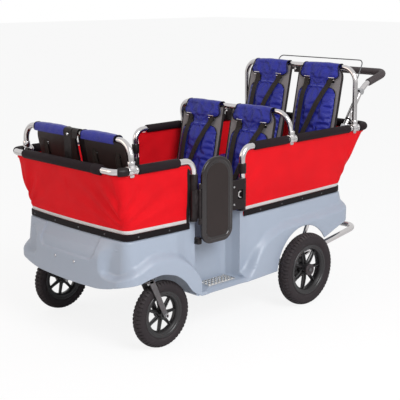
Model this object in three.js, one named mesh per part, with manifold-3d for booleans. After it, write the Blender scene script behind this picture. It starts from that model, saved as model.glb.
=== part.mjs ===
// Six-seat day-care stroller: moulded tub, tube rails with fabric sides, three pairs of seats,
// two doors, fixed rear wheels, front casters and a push handle with a brake bail.
// Millimetres, +Z up. While it is built, the rear axle lies at Y = 0, the floor at Z = 0,
// the front faces -Y and X runs across. The whole is centred over its footprint at the end.

import * as THREE from 'three';
import { mergeVertices } from 'three/addons/utils/BufferGeometryUtils.js';
import Module from 'manifold-3d';

const wasm = await Module();
wasm.setup();

// Clearances and overruns
const seatGap = 0.3;
const runGap = 1;
const overrun = 12;

// Wheels
const rearWheelRadius = 156;
const rearTyreWidth = 56;
const rearTrack = 730;
const frontWheelRadius = 130;
const frontTyreWidth = 46;
const casterTrack = 632;
const wheelbase = 850;
const casterTrail = 70;
const spokeCount = 7;
const hubRadius = 24;
const frontHubRadius = 19;
const hubBevel = 4;
const rimDepth = 17;
const spokeRoot = 9;
const spokeTip = 6;
const spokeDepth = 18;
const tyreDepthShare = 0.33;
const tyreShares = [
  [0, -0.74], [0, 0.74], [0.45, 1], [0.88, 0.74], [1, 0], [0.88, -0.74], [0.45, -1],
];
const rimShares = [[0, -0.5], [0, 0.5], [1, 0.8], [1, -0.8]];
const axleRadius = 8;
const casterAxleRadius = 6;
const axleNutLength = 7;

// Tub
const rimHeight = 458;
const wall = 7;
const frontFaceY = -930;
const rearFaceY = 350;
const faceCrown = 12;
const rimHalfFront = 305;
const rimHalfDoor = 317;
const rimHalfRear = 280;
const rimCornerFront = 30;
const rimCornerRear = 60;
const flare = 46;
const ridgeSoftness = 20;
const faceSoftness = 12;
const ledgeReach = 9;
const ledgeDrop = 6;
const leanReach = 13;
const swellHalf = 203;
const swellFoot = 345;
const grooveHalf = 7;
const rimBand = 24;
const floorHeight = 178;
const stepSeatHeight = 185;
const frontBenchHeight = 400;
const middleBenchHeight = 400;
const footboardHeight = 346;
const rearBenchHeight = 540;
const footwellFrontY = -640;
const footwellRearY = -385;
const footboardFrontY = -85;
const rearBenchFrontY = 60;
const rearBenchBackY = 318;
const rearBenchHalf = 262;
const archRadius = 181;
const archSetBack = 18;
const archInnerHalf = 322;
const recessFrontY = -606;
const recessRearY = -352;
const recessDepth = 112;
const recessTaper = 28;
const recessCorner = 30;
const sillHeight = 366;
const panelHalf = 170;
const panelLow = 346;
const panelDepth = 5;
const panelCorner = 30;

// Rails, hoops and their pads
const railRadius = 12.5;
const padRadius = 17.5;
const sleeveRadius = 16.5;
const frontRailHeight = 697;
const frontRailY = -988;
const frontRailHalf = 327;
const frontRailCorner = 42;
const rearRailHeight = 715;
const rearRailRise = 8;
const rearRailY = 462;
const rearRailHalf = 326;
const rearRailCorner = 46;
const frontPostY = -620;
const rearPostY = -355;
const postBend = 45;
const postFoot = 462;
const hoopRadius = 11;
const hoopCorner = 62;
const frontHoopY = -922;
const frontHoopHeight = 800;
const middleHoopY = -62;
const middleHoopHeight = 828;
const middleHoopLean = 21;
const rearHoopY = 363;
const rearHoopHeight = 985;
const clampRadius = 16;
const clampHalf = 21;
const clampNeck = 30;
const clampNeckRadius = 14;
const rearHoopLean = 4;
const frontPadHalf = 243;
const frontPadShort = 32;
const middlePadShort = 18;
const rearPadShort = 18;
const padGap = 6;
const postSleeve = 58;

// Fabric sides and their trim
const clothThickness = 2;
const stripThickness = 5;
const foldDepth = 5;
const foldPitch = 260;

// Seats
const seatInner = 25;
const seatOuter = 275;
const seatBoard = 8;
const seatLean = 0.2;
const seatBend = 46;
const seatPan = 205;
const seatCorner = 44;
const cushionThickness = 26;
const cushionMargin = 15;
const cushionCrown = 6;
const headDrop = 62;
const neckDrop = 98;
const neckShare = 0.46;
const headOver = 16;
const boardRise = -4;
const beltShares = [0.23, 0.78];
const beltSlotHalf = 17;
const beltSlotHeight = 7;
const beltSlotDrop = 56;
const bodyShare = 0.94;
const seatShare = 0.96;
const cornerShare = 0.3;
const coverSkin = 6;
const coverSection = [
  [-1, 0], [1, 0], [0.97, 0.5], [0.84, 1.02], [0.5, 0.8], [0.17, 0.96],
  [-0.17, 0.96], [-0.5, 0.8], [-0.84, 1.02], [-0.97, 0.5],
];

// Doors
const doorThickness = 16;
const doorInnerX = 343;
const doorFrontY = -602;
const doorRearY = -437;
const doorLow = 369;
const doorHigh = 705;
const doorTopCorner = 78;
const doorFootCorner = 48;
const doorRim = 20;
const doorPanelDepth = 4;
const hingeX = 352;
const hingeY = -611;
const knuckleRadius = 6;
const pinRadius = 3;
const hingeLow = 475;
const hingeHigh = 588;
const knuckleLength = 22;
const plateThickness = 6;
const latchFrontY = -434;
const latchRearY = -357;
const latchLow = 477;
const latchHigh = 596;
const latchWindow = 22;
const catchTravel = 8;
const catchThickness = 6;
const catchHalf = 9;
const latchCorner = 5;
const latchPad = 28;
const windowShare = 0.75;
const hingeWing = 25;

// Step plates
const stepLength = 152;
const stepWidth = 66;
const stepThickness = 4;
const stepHole = 6;
const stepHoles = 4;
const stepHoleShares = [0.28, 0.72];
const stepCorner = 10;
const stepShift = 18;
const recessGap = 10;

// Chassis
const chassisTube = 12.5;
const chassisHalf = 236;
const chassisNoseY = -545;
const loopHalf = 290;
const loopY = 448;
const loopHeight = 252;
const loopCorner = 46;
const legHalf = 150;
const legY = -682;
const crossHeight = 318;
const headRadius = 19;
const headLow = 287;
const headHigh = 344;
const strutRadius = 9;
const strutFootX = 284;
const strutFootY = 45;
const strutFootHeight = 187;
const strutTopX = 297;
const strutTopY = 96;
const riseY = 150;
const riseEndY = 60;
const riseEndHeight = 190;
const riseBend = 90;
const legBend = 30;
const legOverlap = 60;
const bracketX = 268;
const bracketHalf = 20;
const bracketTop = 182;

// Casters
const forkTop = 281;
const crownThickness = 12;
const forkHalf = 31;
const bladeThickness = 6;
const bladeWidth = 26;
const stemRadius = 9;
const bladeTaper = 0.8;

// Push handle
const handleRadius = 11.5;
const gripRadius = 16.5;
const handleHalf = 288;
const handleBaseY = 338;
const handleBaseHeight = 716;
const handleBendY = 449;
const handleBendHeight = 874;
const gripLowY = 492;
const gripLowHeight = 907;
const gripY = 636;
const gripHeight = 948;
const gripCorner = 40;
const bailRadius = 2.5;
const bailHalf = 250;
const bailTopY = 515;
const bailTopHeight = 1008;
const bailCorner = 22;
const cableRadius = 2.5;
const cableTopShare = 0.85;
const cableLoopY = 331;
const cableLoopHeight = 694;
const cableEndHeight = 716;
const cableBend = 9;
const handleBend = 60;
const handleFootEndY = 358;
const collarRadius = 14;
const gripBack = 12;
const gripSlope = 0.285;
const bailFootBend = 8;

// Rear brakes
const drumRadius = 46;
const drumWidth = 18;
const brakeArmLength = 92;
const brakeArmWidth = 16;
const brakeArmThickness = 5;
const brakePlate = 5;
const brakePinRadius = 4;
const brakePivotY = 22;
const brakePivotRise = 24;
const armShare = 0.866;

// Facets
const tubeSides = 8;
const boltSides = 12;
const drumSides = 18;
const wireSides = 6;
const bendStep = Math.PI / 8;
const roundSides = 20;

const rearHalf = rearTrack / 2;
const casterHalf = casterTrack / 2;
const swivelY = -wheelbase;
const frontAxleY = swivelY + casterTrail;
const half = 0.5;
const fullTurn = Math.PI * 2;
const rightAngle = Math.PI / 2;

// Materials
const finish = (color, roughness, metalness = 0) =>
  new THREE.MeshStandardMaterial({ color, roughness, metalness, flatShading: true });
const greyPlastic = finish(0xa9b4c2, 0.45);
const blackPlastic = finish(0x26211f, 0.5);
const blackFoam = finish(0x2a2528, 0.85);
const redCloth = finish(0xe01a22, 0.8);
const blueCloth = finish(0x2a2f8c, 0.7);
const chrome = finish(0xd8d8da, 0.2, 1);
const steel = finish(0xb4b4b8, 0.35, 1);
const tyreRubber = finish(0x1c1a1a, 0.9);
const darkWire = finish(0x303030, 0.4, 0.5);
const boardPlastic = finish(0x4a4547, 0.6);

// Solids and booleans
function bare(geometry) {
  const copy = geometry.clone();
  for (const name of Object.keys(copy.attributes)) {
    if (name !== 'position') copy.deleteAttribute(name);
  }
  return mergeVertices(copy, 1e-4);
}

function signedVolume(geometry) {
  const place = geometry.attributes.position;
  const corner = [0, 1, 2].map(() => new THREE.Vector3());
  let volume = 0;
  for (let i = 0; i < geometry.index.count; i += 3) {
    corner.forEach((point, k) => point.fromBufferAttribute(place, geometry.index.getX(i + k)));
    volume += corner[0].dot(corner[1].clone().cross(corner[2]));
  }
  return volume;
}

function closed(geometry) {
  const merged = bare(geometry);
  const index = Array.from(merged.index.array);
  const kept = [];
  const flip = signedVolume(merged) < 0;
  for (let i = 0; i < index.length; i += 3) {
    const [a, b, c] = index.slice(i, i + 3);
    if (a !== b && b !== c && c !== a) kept.push(...(flip ? [a, c, b] : [a, b, c]));
  }
  merged.setIndex(kept);
  return merged;
}

function solid(geometry) {
  const body = closed(geometry);
  const mesh = new wasm.Mesh({
    numProp: 3,
    vertProperties: new Float32Array(body.attributes.position.array),
    triVerts: new Uint32Array(body.index.array),
  });
  return new wasm.Manifold(mesh);
}

function surface(manifold) {
  const mesh = manifold.getMesh();
  const geometry = new THREE.BufferGeometry();
  geometry.setAttribute('position', new THREE.BufferAttribute(mesh.vertProperties, 3));
  geometry.setIndex(new THREE.BufferAttribute(mesh.triVerts, 1));
  return geometry;
}

const joined = (...parts) => parts.reduce((whole, part) => whole.add(part));

// A quad grid, closed round its rows where asked, as a list of triangles
function stitch(points, rows, columns, looped) {
  const place = [];
  const index = [];
  points.forEach((point) => place.push(point.x, point.y, point.z));
  for (let r = 0; r < rows - 1; r += 1) {
    for (let c = 0; c < (looped ? columns : columns - 1); c += 1) {
      const next = (c + 1) % columns;
      const [a, b] = [r * columns + c, r * columns + next];
      const [d, e] = [(r + 1) * columns + c, (r + 1) * columns + next];
      index.push(a, b, e, a, e, d);
    }
  }
  return { place, index };
}

function geometryFrom(place, index) {
  const geometry = new THREE.BufferGeometry();
  geometry.setAttribute('position', new THREE.Float32BufferAttribute(place, 3));
  geometry.setIndex(index);
  return geometry;
}

// A solid whose rows of points form rings, capped at the first and the last ring
function ringSolid(rings) {
  const columns = rings[0].length;
  const { place, index } = stitch(rings.flat(), rings.length, columns, true);
  const cap = (ring, start, reversed) => {
    const middle = new THREE.Vector3();
    ring.forEach((point) => middle.addScaledVector(point, 1 / columns));
    const centre = place.length / 3;
    place.push(middle.x, middle.y, middle.z);
    for (let c = 0; c < columns; c += 1) {
      const next = (c + 1) % columns;
      index.push(centre, ...(reversed ? [start + next, start + c] : [start + c, start + next]));
    }
  };
  cap(rings[0], 0, true);
  cap(rings[rings.length - 1], (rings.length - 1) * columns, false);
  return geometryFrom(place, index);
}

// Two facing grids of the same size, joined along their four edges
function shellSolid(outer, inner) {
  const [rows, columns] = [outer.length, outer[0].length];
  const front = stitch(outer.flat(), rows, columns, false);
  const back = stitch(inner.flat(), rows, columns, false);
  const shift = rows * columns;
  const index = front.index.slice();
  for (let i = 0; i < back.index.length; i += 3) {
    const [a, b, c] = back.index.slice(i, i + 3);
    index.push(a + shift, c + shift, b + shift);
  }
  const border = [];
  for (let c = 0; c < columns; c += 1) border.push(c);
  for (let r = 1; r < rows; r += 1) border.push(r * columns + columns - 1);
  for (let c = columns - 2; c >= 0; c -= 1) border.push((rows - 1) * columns + c);
  for (let r = rows - 2; r > 0; r -= 1) border.push(r * columns);
  border.forEach((a, i) => {
    const b = border[(i + 1) % border.length];
    index.push(a, a + shift, b + shift, a, b + shift, b);
  });
  return geometryFrom([...front.place, ...back.place], index);
}

// Tubes: straight runs joined by round bends, with rings only where the tube turns
class BentPath extends THREE.Curve {
  constructor(corners, bendRadius) {
    super();
    this.rings = [];
    const points = corners.map((corner) => new THREE.Vector3(...corner));
    const last = points.length - 1;
    const heading = (i) => points[i + 1].clone().sub(points[i]).normalize();
    this.addRing(points[0], heading(0));
    for (let i = 1; i < last; i += 1) {
      const radius = Array.isArray(bendRadius) ? bendRadius[i - 1] : bendRadius;
      this.addBend(points[i], heading(i - 1), heading(i), radius);
    }
    this.addRing(points[last], heading(last - 1));
  }

  addRing(place, direction) {
    const before = this.rings[this.rings.length - 1];
    if (!before || before[0].distanceTo(place) > seatGap) this.rings.push([place, direction]);
  }

  addBend(corner, before, after, radius) {
    const angle = before.angleTo(after);
    const setBack = radius * Math.tan(angle / 2);
    const start = corner.clone().addScaledVector(before, -setBack);
    const axis = before.clone().cross(after).normalize();
    const centre = start.clone().addScaledVector(axis.clone().cross(before), radius);
    const steps = Math.max(1, Math.round(angle / bendStep));
    for (let k = 0; k <= steps; k += 1) {
      const turn = (angle * k) / steps;
      const place = start.clone().sub(centre).applyAxisAngle(axis, turn).add(centre);
      this.addRing(place, before.clone().applyAxisAngle(axis, turn));
    }
  }

  ring(share) {
    return this.rings[Math.round(share * (this.rings.length - 1))];
  }

  getPoint(share) {
    return this.ring(share)[0].clone();
  }

  getPointAt(share) {
    return this.getPoint(share);
  }

  getTangentAt(share) {
    return this.ring(share)[1].clone();
  }

  getSpacedPoints() {
    return this.rings.map(([place]) => place.clone());
  }
}

function polygon(outline, radius, sides) {
  for (let i = 0; i < sides; i += 1) {
    const angle = (fullTurn * (i + half)) / sides;
    const point = [radius * Math.cos(angle), radius * Math.sin(angle)];
    if (i === 0) outline.moveTo(...point);
    else outline.lineTo(...point);
  }
  outline.closePath();
  return outline;
}

function tube(corners, radius, bendRadius = 0, sides = tubeSides) {
  const path = new BentPath(corners, bendRadius);
  const section = polygon(new THREE.Shape(), radius, sides);
  const steps = path.rings.length - 1;
  return new THREE.ExtrudeGeometry(section, { steps, extrudePath: path, curveSegments: 1 });
}

// The bore that clears a faceted tube
const boreFor = (radius, sides = tubeSides) => (radius + seatGap) / Math.cos(Math.PI / sides);

function sleeve(corners, radius, innerRadius, bendRadius = 0) {
  const path = new BentPath(corners, bendRadius);
  const section = polygon(new THREE.Shape(), radius, tubeSides);
  const bore = innerRadius + seatGap / Math.cos(Math.PI / tubeSides);
  section.holes.push(polygon(new THREE.Path(), bore, tubeSides));
  const steps = path.rings.length - 1;
  return new THREE.ExtrudeGeometry(section, { steps, extrudePath: path, curveSegments: 1 });
}

// Plates: an outline drawn in two axes and given a thickness along the third
function plate(shape, thickness, curveSegments = 5) {
  return new THREE.ExtrudeGeometry(shape, {
    depth: thickness, bevelEnabled: false, curveSegments,
  });
}

// Outline in Y and Z, thickness along +X from the given X
function sidePlate(shape, x, thickness, curveSegments) {
  const geometry = plate(shape, thickness, curveSegments);
  geometry.applyMatrix4(new THREE.Matrix4().makeBasis(
    new THREE.Vector3(0, 1, 0), new THREE.Vector3(0, 0, 1), new THREE.Vector3(1, 0, 0),
  ));
  return geometry.translate(x, 0, 0);
}

function roundedBox(lowU, lowV, highU, highV, radii) {
  const [a, b, c, d] = Array.isArray(radii) ? radii : [radii, radii, radii, radii];
  const shape = new THREE.Shape();
  shape.moveTo(lowU + a, lowV);
  shape.lineTo(highU - b, lowV);
  shape.absarc(highU - b, lowV + b, b, -rightAngle, 0, false);
  shape.lineTo(highU, highV - c);
  shape.absarc(highU - c, highV - c, c, 0, rightAngle, false);
  shape.lineTo(lowU + d, highV);
  shape.absarc(lowU + d, highV - d, d, rightAngle, Math.PI, false);
  shape.lineTo(lowU, lowV + a);
  shape.absarc(lowU + a, lowV + a, a, Math.PI, Math.PI + rightAngle, false);
  return shape;
}

function block(low, high) {
  const size = high.map((value, i) => value - low[i]);
  const middle = high.map((value, i) => (value + low[i]) / 2);
  return new THREE.BoxGeometry(...size).translate(...middle);
}

// A cylinder between two heights of the named axis
function rod(axis, radius, from, to, place, sides = roundSides) {
  const geometry = new THREE.CylinderGeometry(radius, radius, to - from, sides);
  if (axis === 'z') geometry.rotateX(rightAngle);
  if (axis === 'x') geometry.rotateZ(rightAngle);
  const middle = (from + to) / 2;
  const centre = { x: [middle, ...place], y: [place[0], middle, place[1]], z: [...place, middle] };
  return geometry.translate(...centre[axis]);
}

// A ring turned about the X axis, from pairs of radius and X
function turned(profile, place, sides = roundSides) {
  const points = profile.map(([radius, x]) => new THREE.Vector2(radius, x));
  const geometry = new THREE.LatheGeometry(points, sides);
  return geometry.rotateZ(-rightAngle).rotateX(Math.PI / sides).translate(...place);
}

// A height read from a table of pairs, eased between them
function along(table, place) {
  if (place <= table[0][0]) return table[0][1];
  for (let i = 1; i < table.length; i += 1) {
    const [[fromPlace, fromValue], [toPlace, toValue]] = [table[i - 1], table[i]];
    if (place <= toPlace) {
      const share = (place - fromPlace) / (toPlace - fromPlace);
      return fromValue + (toValue - fromValue) * share;
    }
  }
  return table[table.length - 1][1];
}

// Even steps from the end of a face to its middle, as shares of half its width
const evenShares = (count) => Array.from({ length: count }, (_, i) => 1 - (i + 1) / count);

// A U in plan from the near side round one end to the far side, as points with outward normals
function planU(end, counts) {
  const { doorY, doorX, sideX, faceY, corner, crown } = end;
  const facing = Math.sign(faceY - doorY);
  const cornerY = faceY - facing * corner;
  const near = [];
  for (let i = 0; i < counts.side; i += 1) {
    const share = i / counts.side;
    const x = doorX + (sideX - doorX) * share;
    near.push([x, doorY + (cornerY - doorY) * share, 1, 0]);
  }
  for (let i = 0; i <= counts.corner; i += 1) {
    const angle = (rightAngle * i) / counts.corner;
    const [across, lengthwise] = [Math.cos(angle), Math.sin(angle) * facing];
    near.push([
      sideX - corner + corner * across, cornerY + corner * lengthwise, across, lengthwise,
    ]);
  }
  const faceHalf = sideX - corner;
  for (const share of counts.face) {
    const x = faceHalf * share;
    const bulge = crown * (1 - (x / faceHalf) ** 2);
    near.push([x, faceY + facing * bulge, 0, facing]);
  }
  const far = near.slice(0, -1).reverse().map(([x, y, nx, ny]) => [-x, y, -nx, ny]);
  return [...near, ...far];
}

const frontRim = {
  doorY: footwellFrontY + (recessFrontY - footwellFrontY) * half,
  doorX: rimHalfDoor,
  sideX: rimHalfFront,
  faceY: frontFaceY,
  corner: rimCornerFront,
  crown: faceCrown,
};
const rearRim = {
  doorY: recessRearY,
  doorX: rimHalfDoor,
  sideX: rimHalfRear,
  faceY: rearFaceY,
  corner: rimCornerRear,
  crown: faceCrown,
};

// Tub: lower edge and shoulder ridge, as shares of the body length and the rim height
const bodyLength = rearFaceY - frontFaceY;
const lowerEdgeShares = [
  [-0.04, 0.6], [0, 0.598], [0.046, 0.624], [0.096, 0.642], [0.142, 0.616], [0.181, 0.55],
  [0.215, 0.437], [0.238, 0.392], [0.256, 0.373], [0.6, 0.38], [0.66, 0.4], [0.8, 0.52],
  [0.86, 0.559], [0.925, 0.616], [0.965, 0.65], [1, 0.672],
];
const faceEdgeShares = [[0, 0.524], [0.55, 0.53], [0.85, 0.56], [1, 0.6]];
const ridgeShares = [
  [-0.04, 0.69], [0, 0.7], [0.041, 0.742], [0.066, 0.774], [0.092, 0.785], [0.117, 0.786],
  [0.156, 0.764], [0.196, 0.716], [0.223, 0.655], [0.245, 0.579], [0.262, 0.48], [0.28, 0.4],
  [0.43, 0.4], [0.455, 0.42], [0.475, 0.452], [0.498, 0.558], [0.521, 0.64], [0.557, 0.716],
  [0.593, 0.757], [0.655, 0.787], [0.853, 0.793], [0.959, 0.81], [1, 0.83],
];
const faceRidgeShares = [[0.67, 0.68], [0.72, 0.66], [0.87, 0.646], [1, 0.66]];
// The ledge and the lean under the rim fade out beside the doors
const leanShares = [[0.17, 1], [0.225, 0], [0.47, 0], [0.52, 1]];

const lengthShare = (y) => (y - frontFaceY) / bodyLength;

function tubEdge([x, y, , ny]) {
  const side = along(lowerEdgeShares, lengthShare(y)) * rimHeight;
  if (ny >= 0) return side;
  const face = along(faceEdgeShares, Math.abs(x) / rimHalfFront) * rimHeight;
  return THREE.MathUtils.lerp(side, face, ny * ny);
}

// The middle and half height of the skirt's shoulder; the front face swells in one sweep
const rimFoot = rimHeight - rimBand;
function tubShoulder([x, y, , ny]) {
  if (ny === -1 && Math.abs(x) < swellHalf) {
    return { middle: (rimFoot + swellFoot) * half, soft: (rimFoot - swellFoot) * half };
  }
  const facing = Math.min(0, ny) ** 2;
  const side = along(ridgeShares, lengthShare(y)) * rimHeight;
  const face = along(faceRidgeShares, Math.abs(x) / rimHalfFront) * rimHeight;
  return {
    middle: THREE.MathUtils.lerp(side, face, facing),
    soft: THREE.MathUtils.lerp(ridgeSoftness, faceSoftness, facing),
  };
}

// How far the skirt stands out from the rim at a height: a ledge, a lean, then the shoulder
function skirtReach(station, z) {
  const { middle, soft } = tubShoulder(station);
  const open = along(leanShares, lengthShare(station[1]));
  const ledge = ledgeReach * open * THREE.MathUtils.clamp((rimFoot - z) / ledgeDrop, 0, 1);
  const lean = leanReach * open * THREE.MathUtils.clamp((rimFoot - z) / (rimFoot - middle), 0, 1);
  const shoulder = THREE.MathUtils.smoothstep(-z, -middle - soft, -middle + soft);
  return ledge + lean + (flare - (ledgeReach + leanReach) * open) * shoulder;
}

// Heights of the wall's rings: rim foot, ledge, four round the shoulder, lower edge
const shoulderShares = [1, 0.35, -0.35, -1];
function tubHeights(station) {
  const edge = tubEdge(station);
  const { middle, soft } = tubShoulder(station);
  const heights = [
    rimFoot, rimFoot - ledgeDrop, ...shoulderShares.map((share) => middle + soft * share), edge,
  ];
  for (let i = 1; i < heights.length - 1; i += 1) {
    const lowest = edge + (heights.length - 1 - i) * runGap;
    heights[i] = Math.min(Math.max(heights[i], lowest), heights[i - 1] - runGap);
  }
  return heights;
}

// The front face has a station each side of the groove beside its swell
const swellShares = [swellHalf + grooveHalf, swellHalf - grooveHalf, swellHalf * half, 0]
  .map((x) => x / (rimHalfFront - rimCornerFront));
function tubStations() {
  const front = planU(frontRim, { side: 7, corner: 4, face: swellShares });
  const rear = planU(rearRim, { side: 10, corner: 4, face: evenShares(2) }).reverse();
  return [...front, ...rear];
}

// Rings from the rim down, the same for every inset, and a last one at the given bottom
function tubSolid(inset, lift, bottomOf) {
  const stations = tubStations();
  const ringAt = (heightOf, reachHeightOf = heightOf) => stations.map((station) => {
    const [x, y, nx, ny] = station;
    const reach = skirtReach(station, reachHeightOf(station)) - inset;
    return new THREE.Vector3(x + nx * reach, y + ny * reach, heightOf(station));
  });
  const levels = tubHeights(stations[0]).length;
  const rings = Array.from({ length: levels }, (_, level) =>
    ringAt((station) => tubHeights(station)[level]));
  if (bottomOf) rings.push(ringAt(bottomOf, tubEdge));
  return solid(ringSolid([ringAt(() => rimHeight + lift), ...rings]));
}

// The recess beside each door: straight back, sloped ends, open to the side
function recessShape(grow) {
  const back = rimHalfDoor + flare - recessDepth - grow;
  const open = rimHalfDoor + flare + overrun;
  const [front, rear] = [recessFrontY - grow, recessRearY + grow];
  const shape = new THREE.Shape();
  shape.moveTo(open, front);
  shape.lineTo(open, rear);
  shape.lineTo(rimHalfDoor, rear);
  shape.lineTo(back + recessCorner, rear - recessTaper * half);
  shape.quadraticCurveTo(back, rear - recessTaper, back, rear - recessTaper - recessCorner);
  shape.lineTo(back, front + recessTaper + recessCorner);
  shape.quadraticCurveTo(back, front + recessTaper, back + recessCorner, front + recessTaper * half);
  shape.lineTo(rimHalfDoor, front);
  return shape;
}

function mirrored(geometry) {
  return geometry.clone().scale(-1, 1, 1);
}

// One stepped sheet from the front wall to the rear wall: benches, footwell and footboard
function panSolid() {
  const steps = [
    [frontFaceY - flare - overrun, frontBenchHeight], [footwellFrontY, frontBenchHeight],
    [footwellFrontY, floorHeight], [footwellRearY, floorHeight],
    [footwellRearY, middleBenchHeight], [footboardFrontY, middleBenchHeight],
    [footboardFrontY, footboardHeight], [rearFaceY + flare + overrun, footboardHeight],
  ];
  const shape = new THREE.Shape();
  steps.forEach(([y, z], i) => (i === 0 ? shape.moveTo(y, z) : shape.lineTo(y, z)));
  const wallSide = [0, -1, -1, 1, 1, -1, -1, 0];
  for (let i = steps.length - 1; i >= 0; i -= 1) {
    shape.lineTo(steps[i][0] + wallSide[i] * wall, steps[i][1] - wall);
  }
  const reach = rimHalfDoor + flare + overrun;
  return solid(sidePlate(shape, -reach, reach * 2));
}

// The shallow panel in the front face: a U that runs out under the trim strip
function panelShape() {
  const [top, bend] = [rimFoot - ledgeDrop * half, panelHalf - panelCorner];
  const shape = new THREE.Shape();
  shape.moveTo(-panelHalf, top);
  shape.lineTo(-panelHalf, panelLow + panelCorner);
  shape.absarc(-bend, panelLow + panelCorner, panelCorner, Math.PI, Math.PI + rightAngle, false);
  shape.lineTo(bend, panelLow);
  shape.absarc(bend, panelLow + panelCorner, panelCorner, -rightAngle, 0, false);
  shape.lineTo(panelHalf, top);
  return shape;
}

function tubShell() {
  const outer = tubSolid(0, 0);
  const inner = tubSolid(wall, overrun, (station) => tubEdge(station) - overrun);
  const filled = tubSolid(wall * half, 0, (station) =>
    Math.min(tubEdge(station) - seatGap, floorHeight - wall));
  let tub = outer.subtract(inner).add(panSolid().intersect(filled));
  const bench = block(
    [-rearBenchHalf, rearBenchFrontY, footboardHeight - wall],
    [rearBenchHalf, rearBenchBackY, rearBenchHeight],
  );
  const benchHollow = block(
    [wall - rearBenchHalf, rearBenchFrontY + wall, footboardHeight - wall - overrun],
    [rearBenchHalf - wall, rearBenchBackY - wall, rearBenchHeight - wall],
  );
  tub = tub.add(solid(bench)).subtract(solid(benchHollow));
  const podTop = rimHeight - floorHeight + wall;
  const pod = plate(recessShape(wall), podTop).translate(0, 0, floorHeight - wall);
  const recess = plate(recessShape(0), podTop + overrun).translate(0, 0, stepSeatHeight);
  const sill = block(
    [0, recessFrontY + recessTaper, sillHeight],
    [rimHalfDoor + flare + overrun, recessRearY - recessTaper, rimHeight + overrun],
  );
  const arch = rod(
    'x', archRadius, archInnerHalf, rearHalf + rearTyreWidth, [archSetBack, rearWheelRadius],
  );
  for (const side of [(g) => g, mirrored]) {
    tub = tub.add(solid(side(pod)).intersect(filled)).subtract(solid(side(recess)));
    tub = tub.subtract(solid(side(sill))).subtract(solid(side(arch)));
  }
  const panelCut = plate(panelShape(), flare * 2)
    .rotateX(rightAngle).translate(0, frontFaceY + panelDepth, 0);
  return surface(tub.subtract(solid(panelCut).subtract(tubSolid(panelDepth, 0))));
}

// Trim strips clamp the cloth to the outside of the rim
function trimStrip(rim, counts) {
  const clothOut = seatGap + clothThickness;
  const stations = planU(rim, counts);
  const rows = (inset) => [rimFoot + seatGap, rimHeight].map((z) =>
    stations.map(([x, y, nx, ny]) =>
      new THREE.Vector3(x + nx * inset, y + ny * inset, z)));
  return closed(shellSolid(rows(clothOut + seatGap + stripThickness), rows(clothOut + seatGap)));
}

// Cloth side: bottom edge behind the trim strip, top edge under the rail
function clothSide(rim, rail, counts, topOf) {
  const low = planU(rim, counts);
  const high = planU(rail, counts);
  const bottom = rimFoot + seatGap * 2;
  const rowShares = [0, 0, 0.33, 0.67, 1];
  const grid = (inset) => rowShares.map((share, row) => low.map((station, i) => {
    const [x, y, nx, ny] = station;
    const [railX, railY] = high[i];
    const z = row === 0 ? bottom : THREE.MathUtils.lerp(rimHeight, topOf(railY), share);
    const rise = Math.max(0, (z - rimHeight) / (rail.height - rimHeight));
    const wave = Math.sin((fullTurn * (x + y)) / foldPitch) * foldDepth;
    const swell = wave * Math.sin(Math.PI * rise) * (ny === 0 ? half : 1) - foldDepth * rise * (1 - rise);
    const out = inset + swell;
    const px = THREE.MathUtils.lerp(x, railX, rise);
    const py = THREE.MathUtils.lerp(y, railY, rise);
    return new THREE.Vector3(px + nx * out, py + ny * out, z);
  }));
  return closed(shellSolid(grid(seatGap + clothThickness), grid(seatGap)));
}

const meshes = [];
function add(name, geometry, material) {
  const mesh = new THREE.Mesh(geometry.index ? geometry : closed(geometry), material);
  mesh.name = name;
  meshes.push(mesh);
  return mesh;
}

// Both sides of a piece, left is +X
function addPair(name, geometry, material) {
  const shape = closed(geometry);
  add(`${name}_left`, shape, material);
  add(`${name}_right`, closed(mirrored(shape)), material);
}

add('tub_shell', tubShell(), greyPlastic);

// Rails
const frontRailPath = [
  [frontRailHalf, frontPostY, postFoot + seatGap * 2],
  [frontRailHalf, frontPostY, frontRailHeight],
  [frontRailHalf, frontRailY, frontRailHeight],
  [-frontRailHalf, frontRailY, frontRailHeight],
  [-frontRailHalf, frontPostY, frontRailHeight],
  [-frontRailHalf, frontPostY, postFoot + seatGap * 2],
];
add('front_rail', closed(tube(
  frontRailPath, railRadius, [postBend, frontRailCorner, frontRailCorner, postBend],
)), chrome);
const rearRailPath = [
  [rearRailHalf, rearPostY, postFoot + seatGap * 2],
  [rearRailHalf, rearPostY, rearRailHeight],
  [rearRailHalf, rearRailY, rearRailHeight + rearRailRise],
  [-rearRailHalf, rearRailY, rearRailHeight + rearRailRise],
  [-rearRailHalf, rearPostY, rearRailHeight],
  [-rearRailHalf, rearPostY, postFoot + seatGap * 2],
];
add('rear_rail', closed(tube(
  rearRailPath, railRadius, [postBend, rearRailCorner, rearRailCorner, postBend],
)), chrome);

// Foam pads and sleeves on the rails
const rearRailRun = rearRailY - rearPostY;
const rearRailAt = (y) => rearRailHeight + (rearRailRise * (y - rearPostY)) / rearRailRun;
add('front_rail_pad', closed(sleeve([
  [frontPadHalf, frontRailY, frontRailHeight], [-frontPadHalf, frontRailY, frontRailHeight],
], padRadius, railRadius)), blackFoam);
addPair('front_side_pad', sleeve([
  [frontRailHalf, frontHoopY + clampHalf + padGap, frontRailHeight],
  [frontRailHalf, frontPostY - postBend - frontPadShort, frontRailHeight],
], padRadius, railRadius), blackFoam);
const cornerRun = frontRailCorner * Math.tan(rightAngle / 4);
const cornerMiddle = frontRailCorner * (1 - Math.SQRT1_2);
addPair('front_corner_sleeve', sleeve([
  [frontRailHalf - cornerMiddle, frontRailY + cornerMiddle, frontRailHeight],
  [frontRailHalf, frontRailY + frontRailCorner - cornerRun, frontRailHeight],
  [frontRailHalf, frontHoopY - clampHalf - runGap, frontRailHeight],
], sleeveRadius, railRadius, frontRailCorner), blackPlastic);
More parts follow.
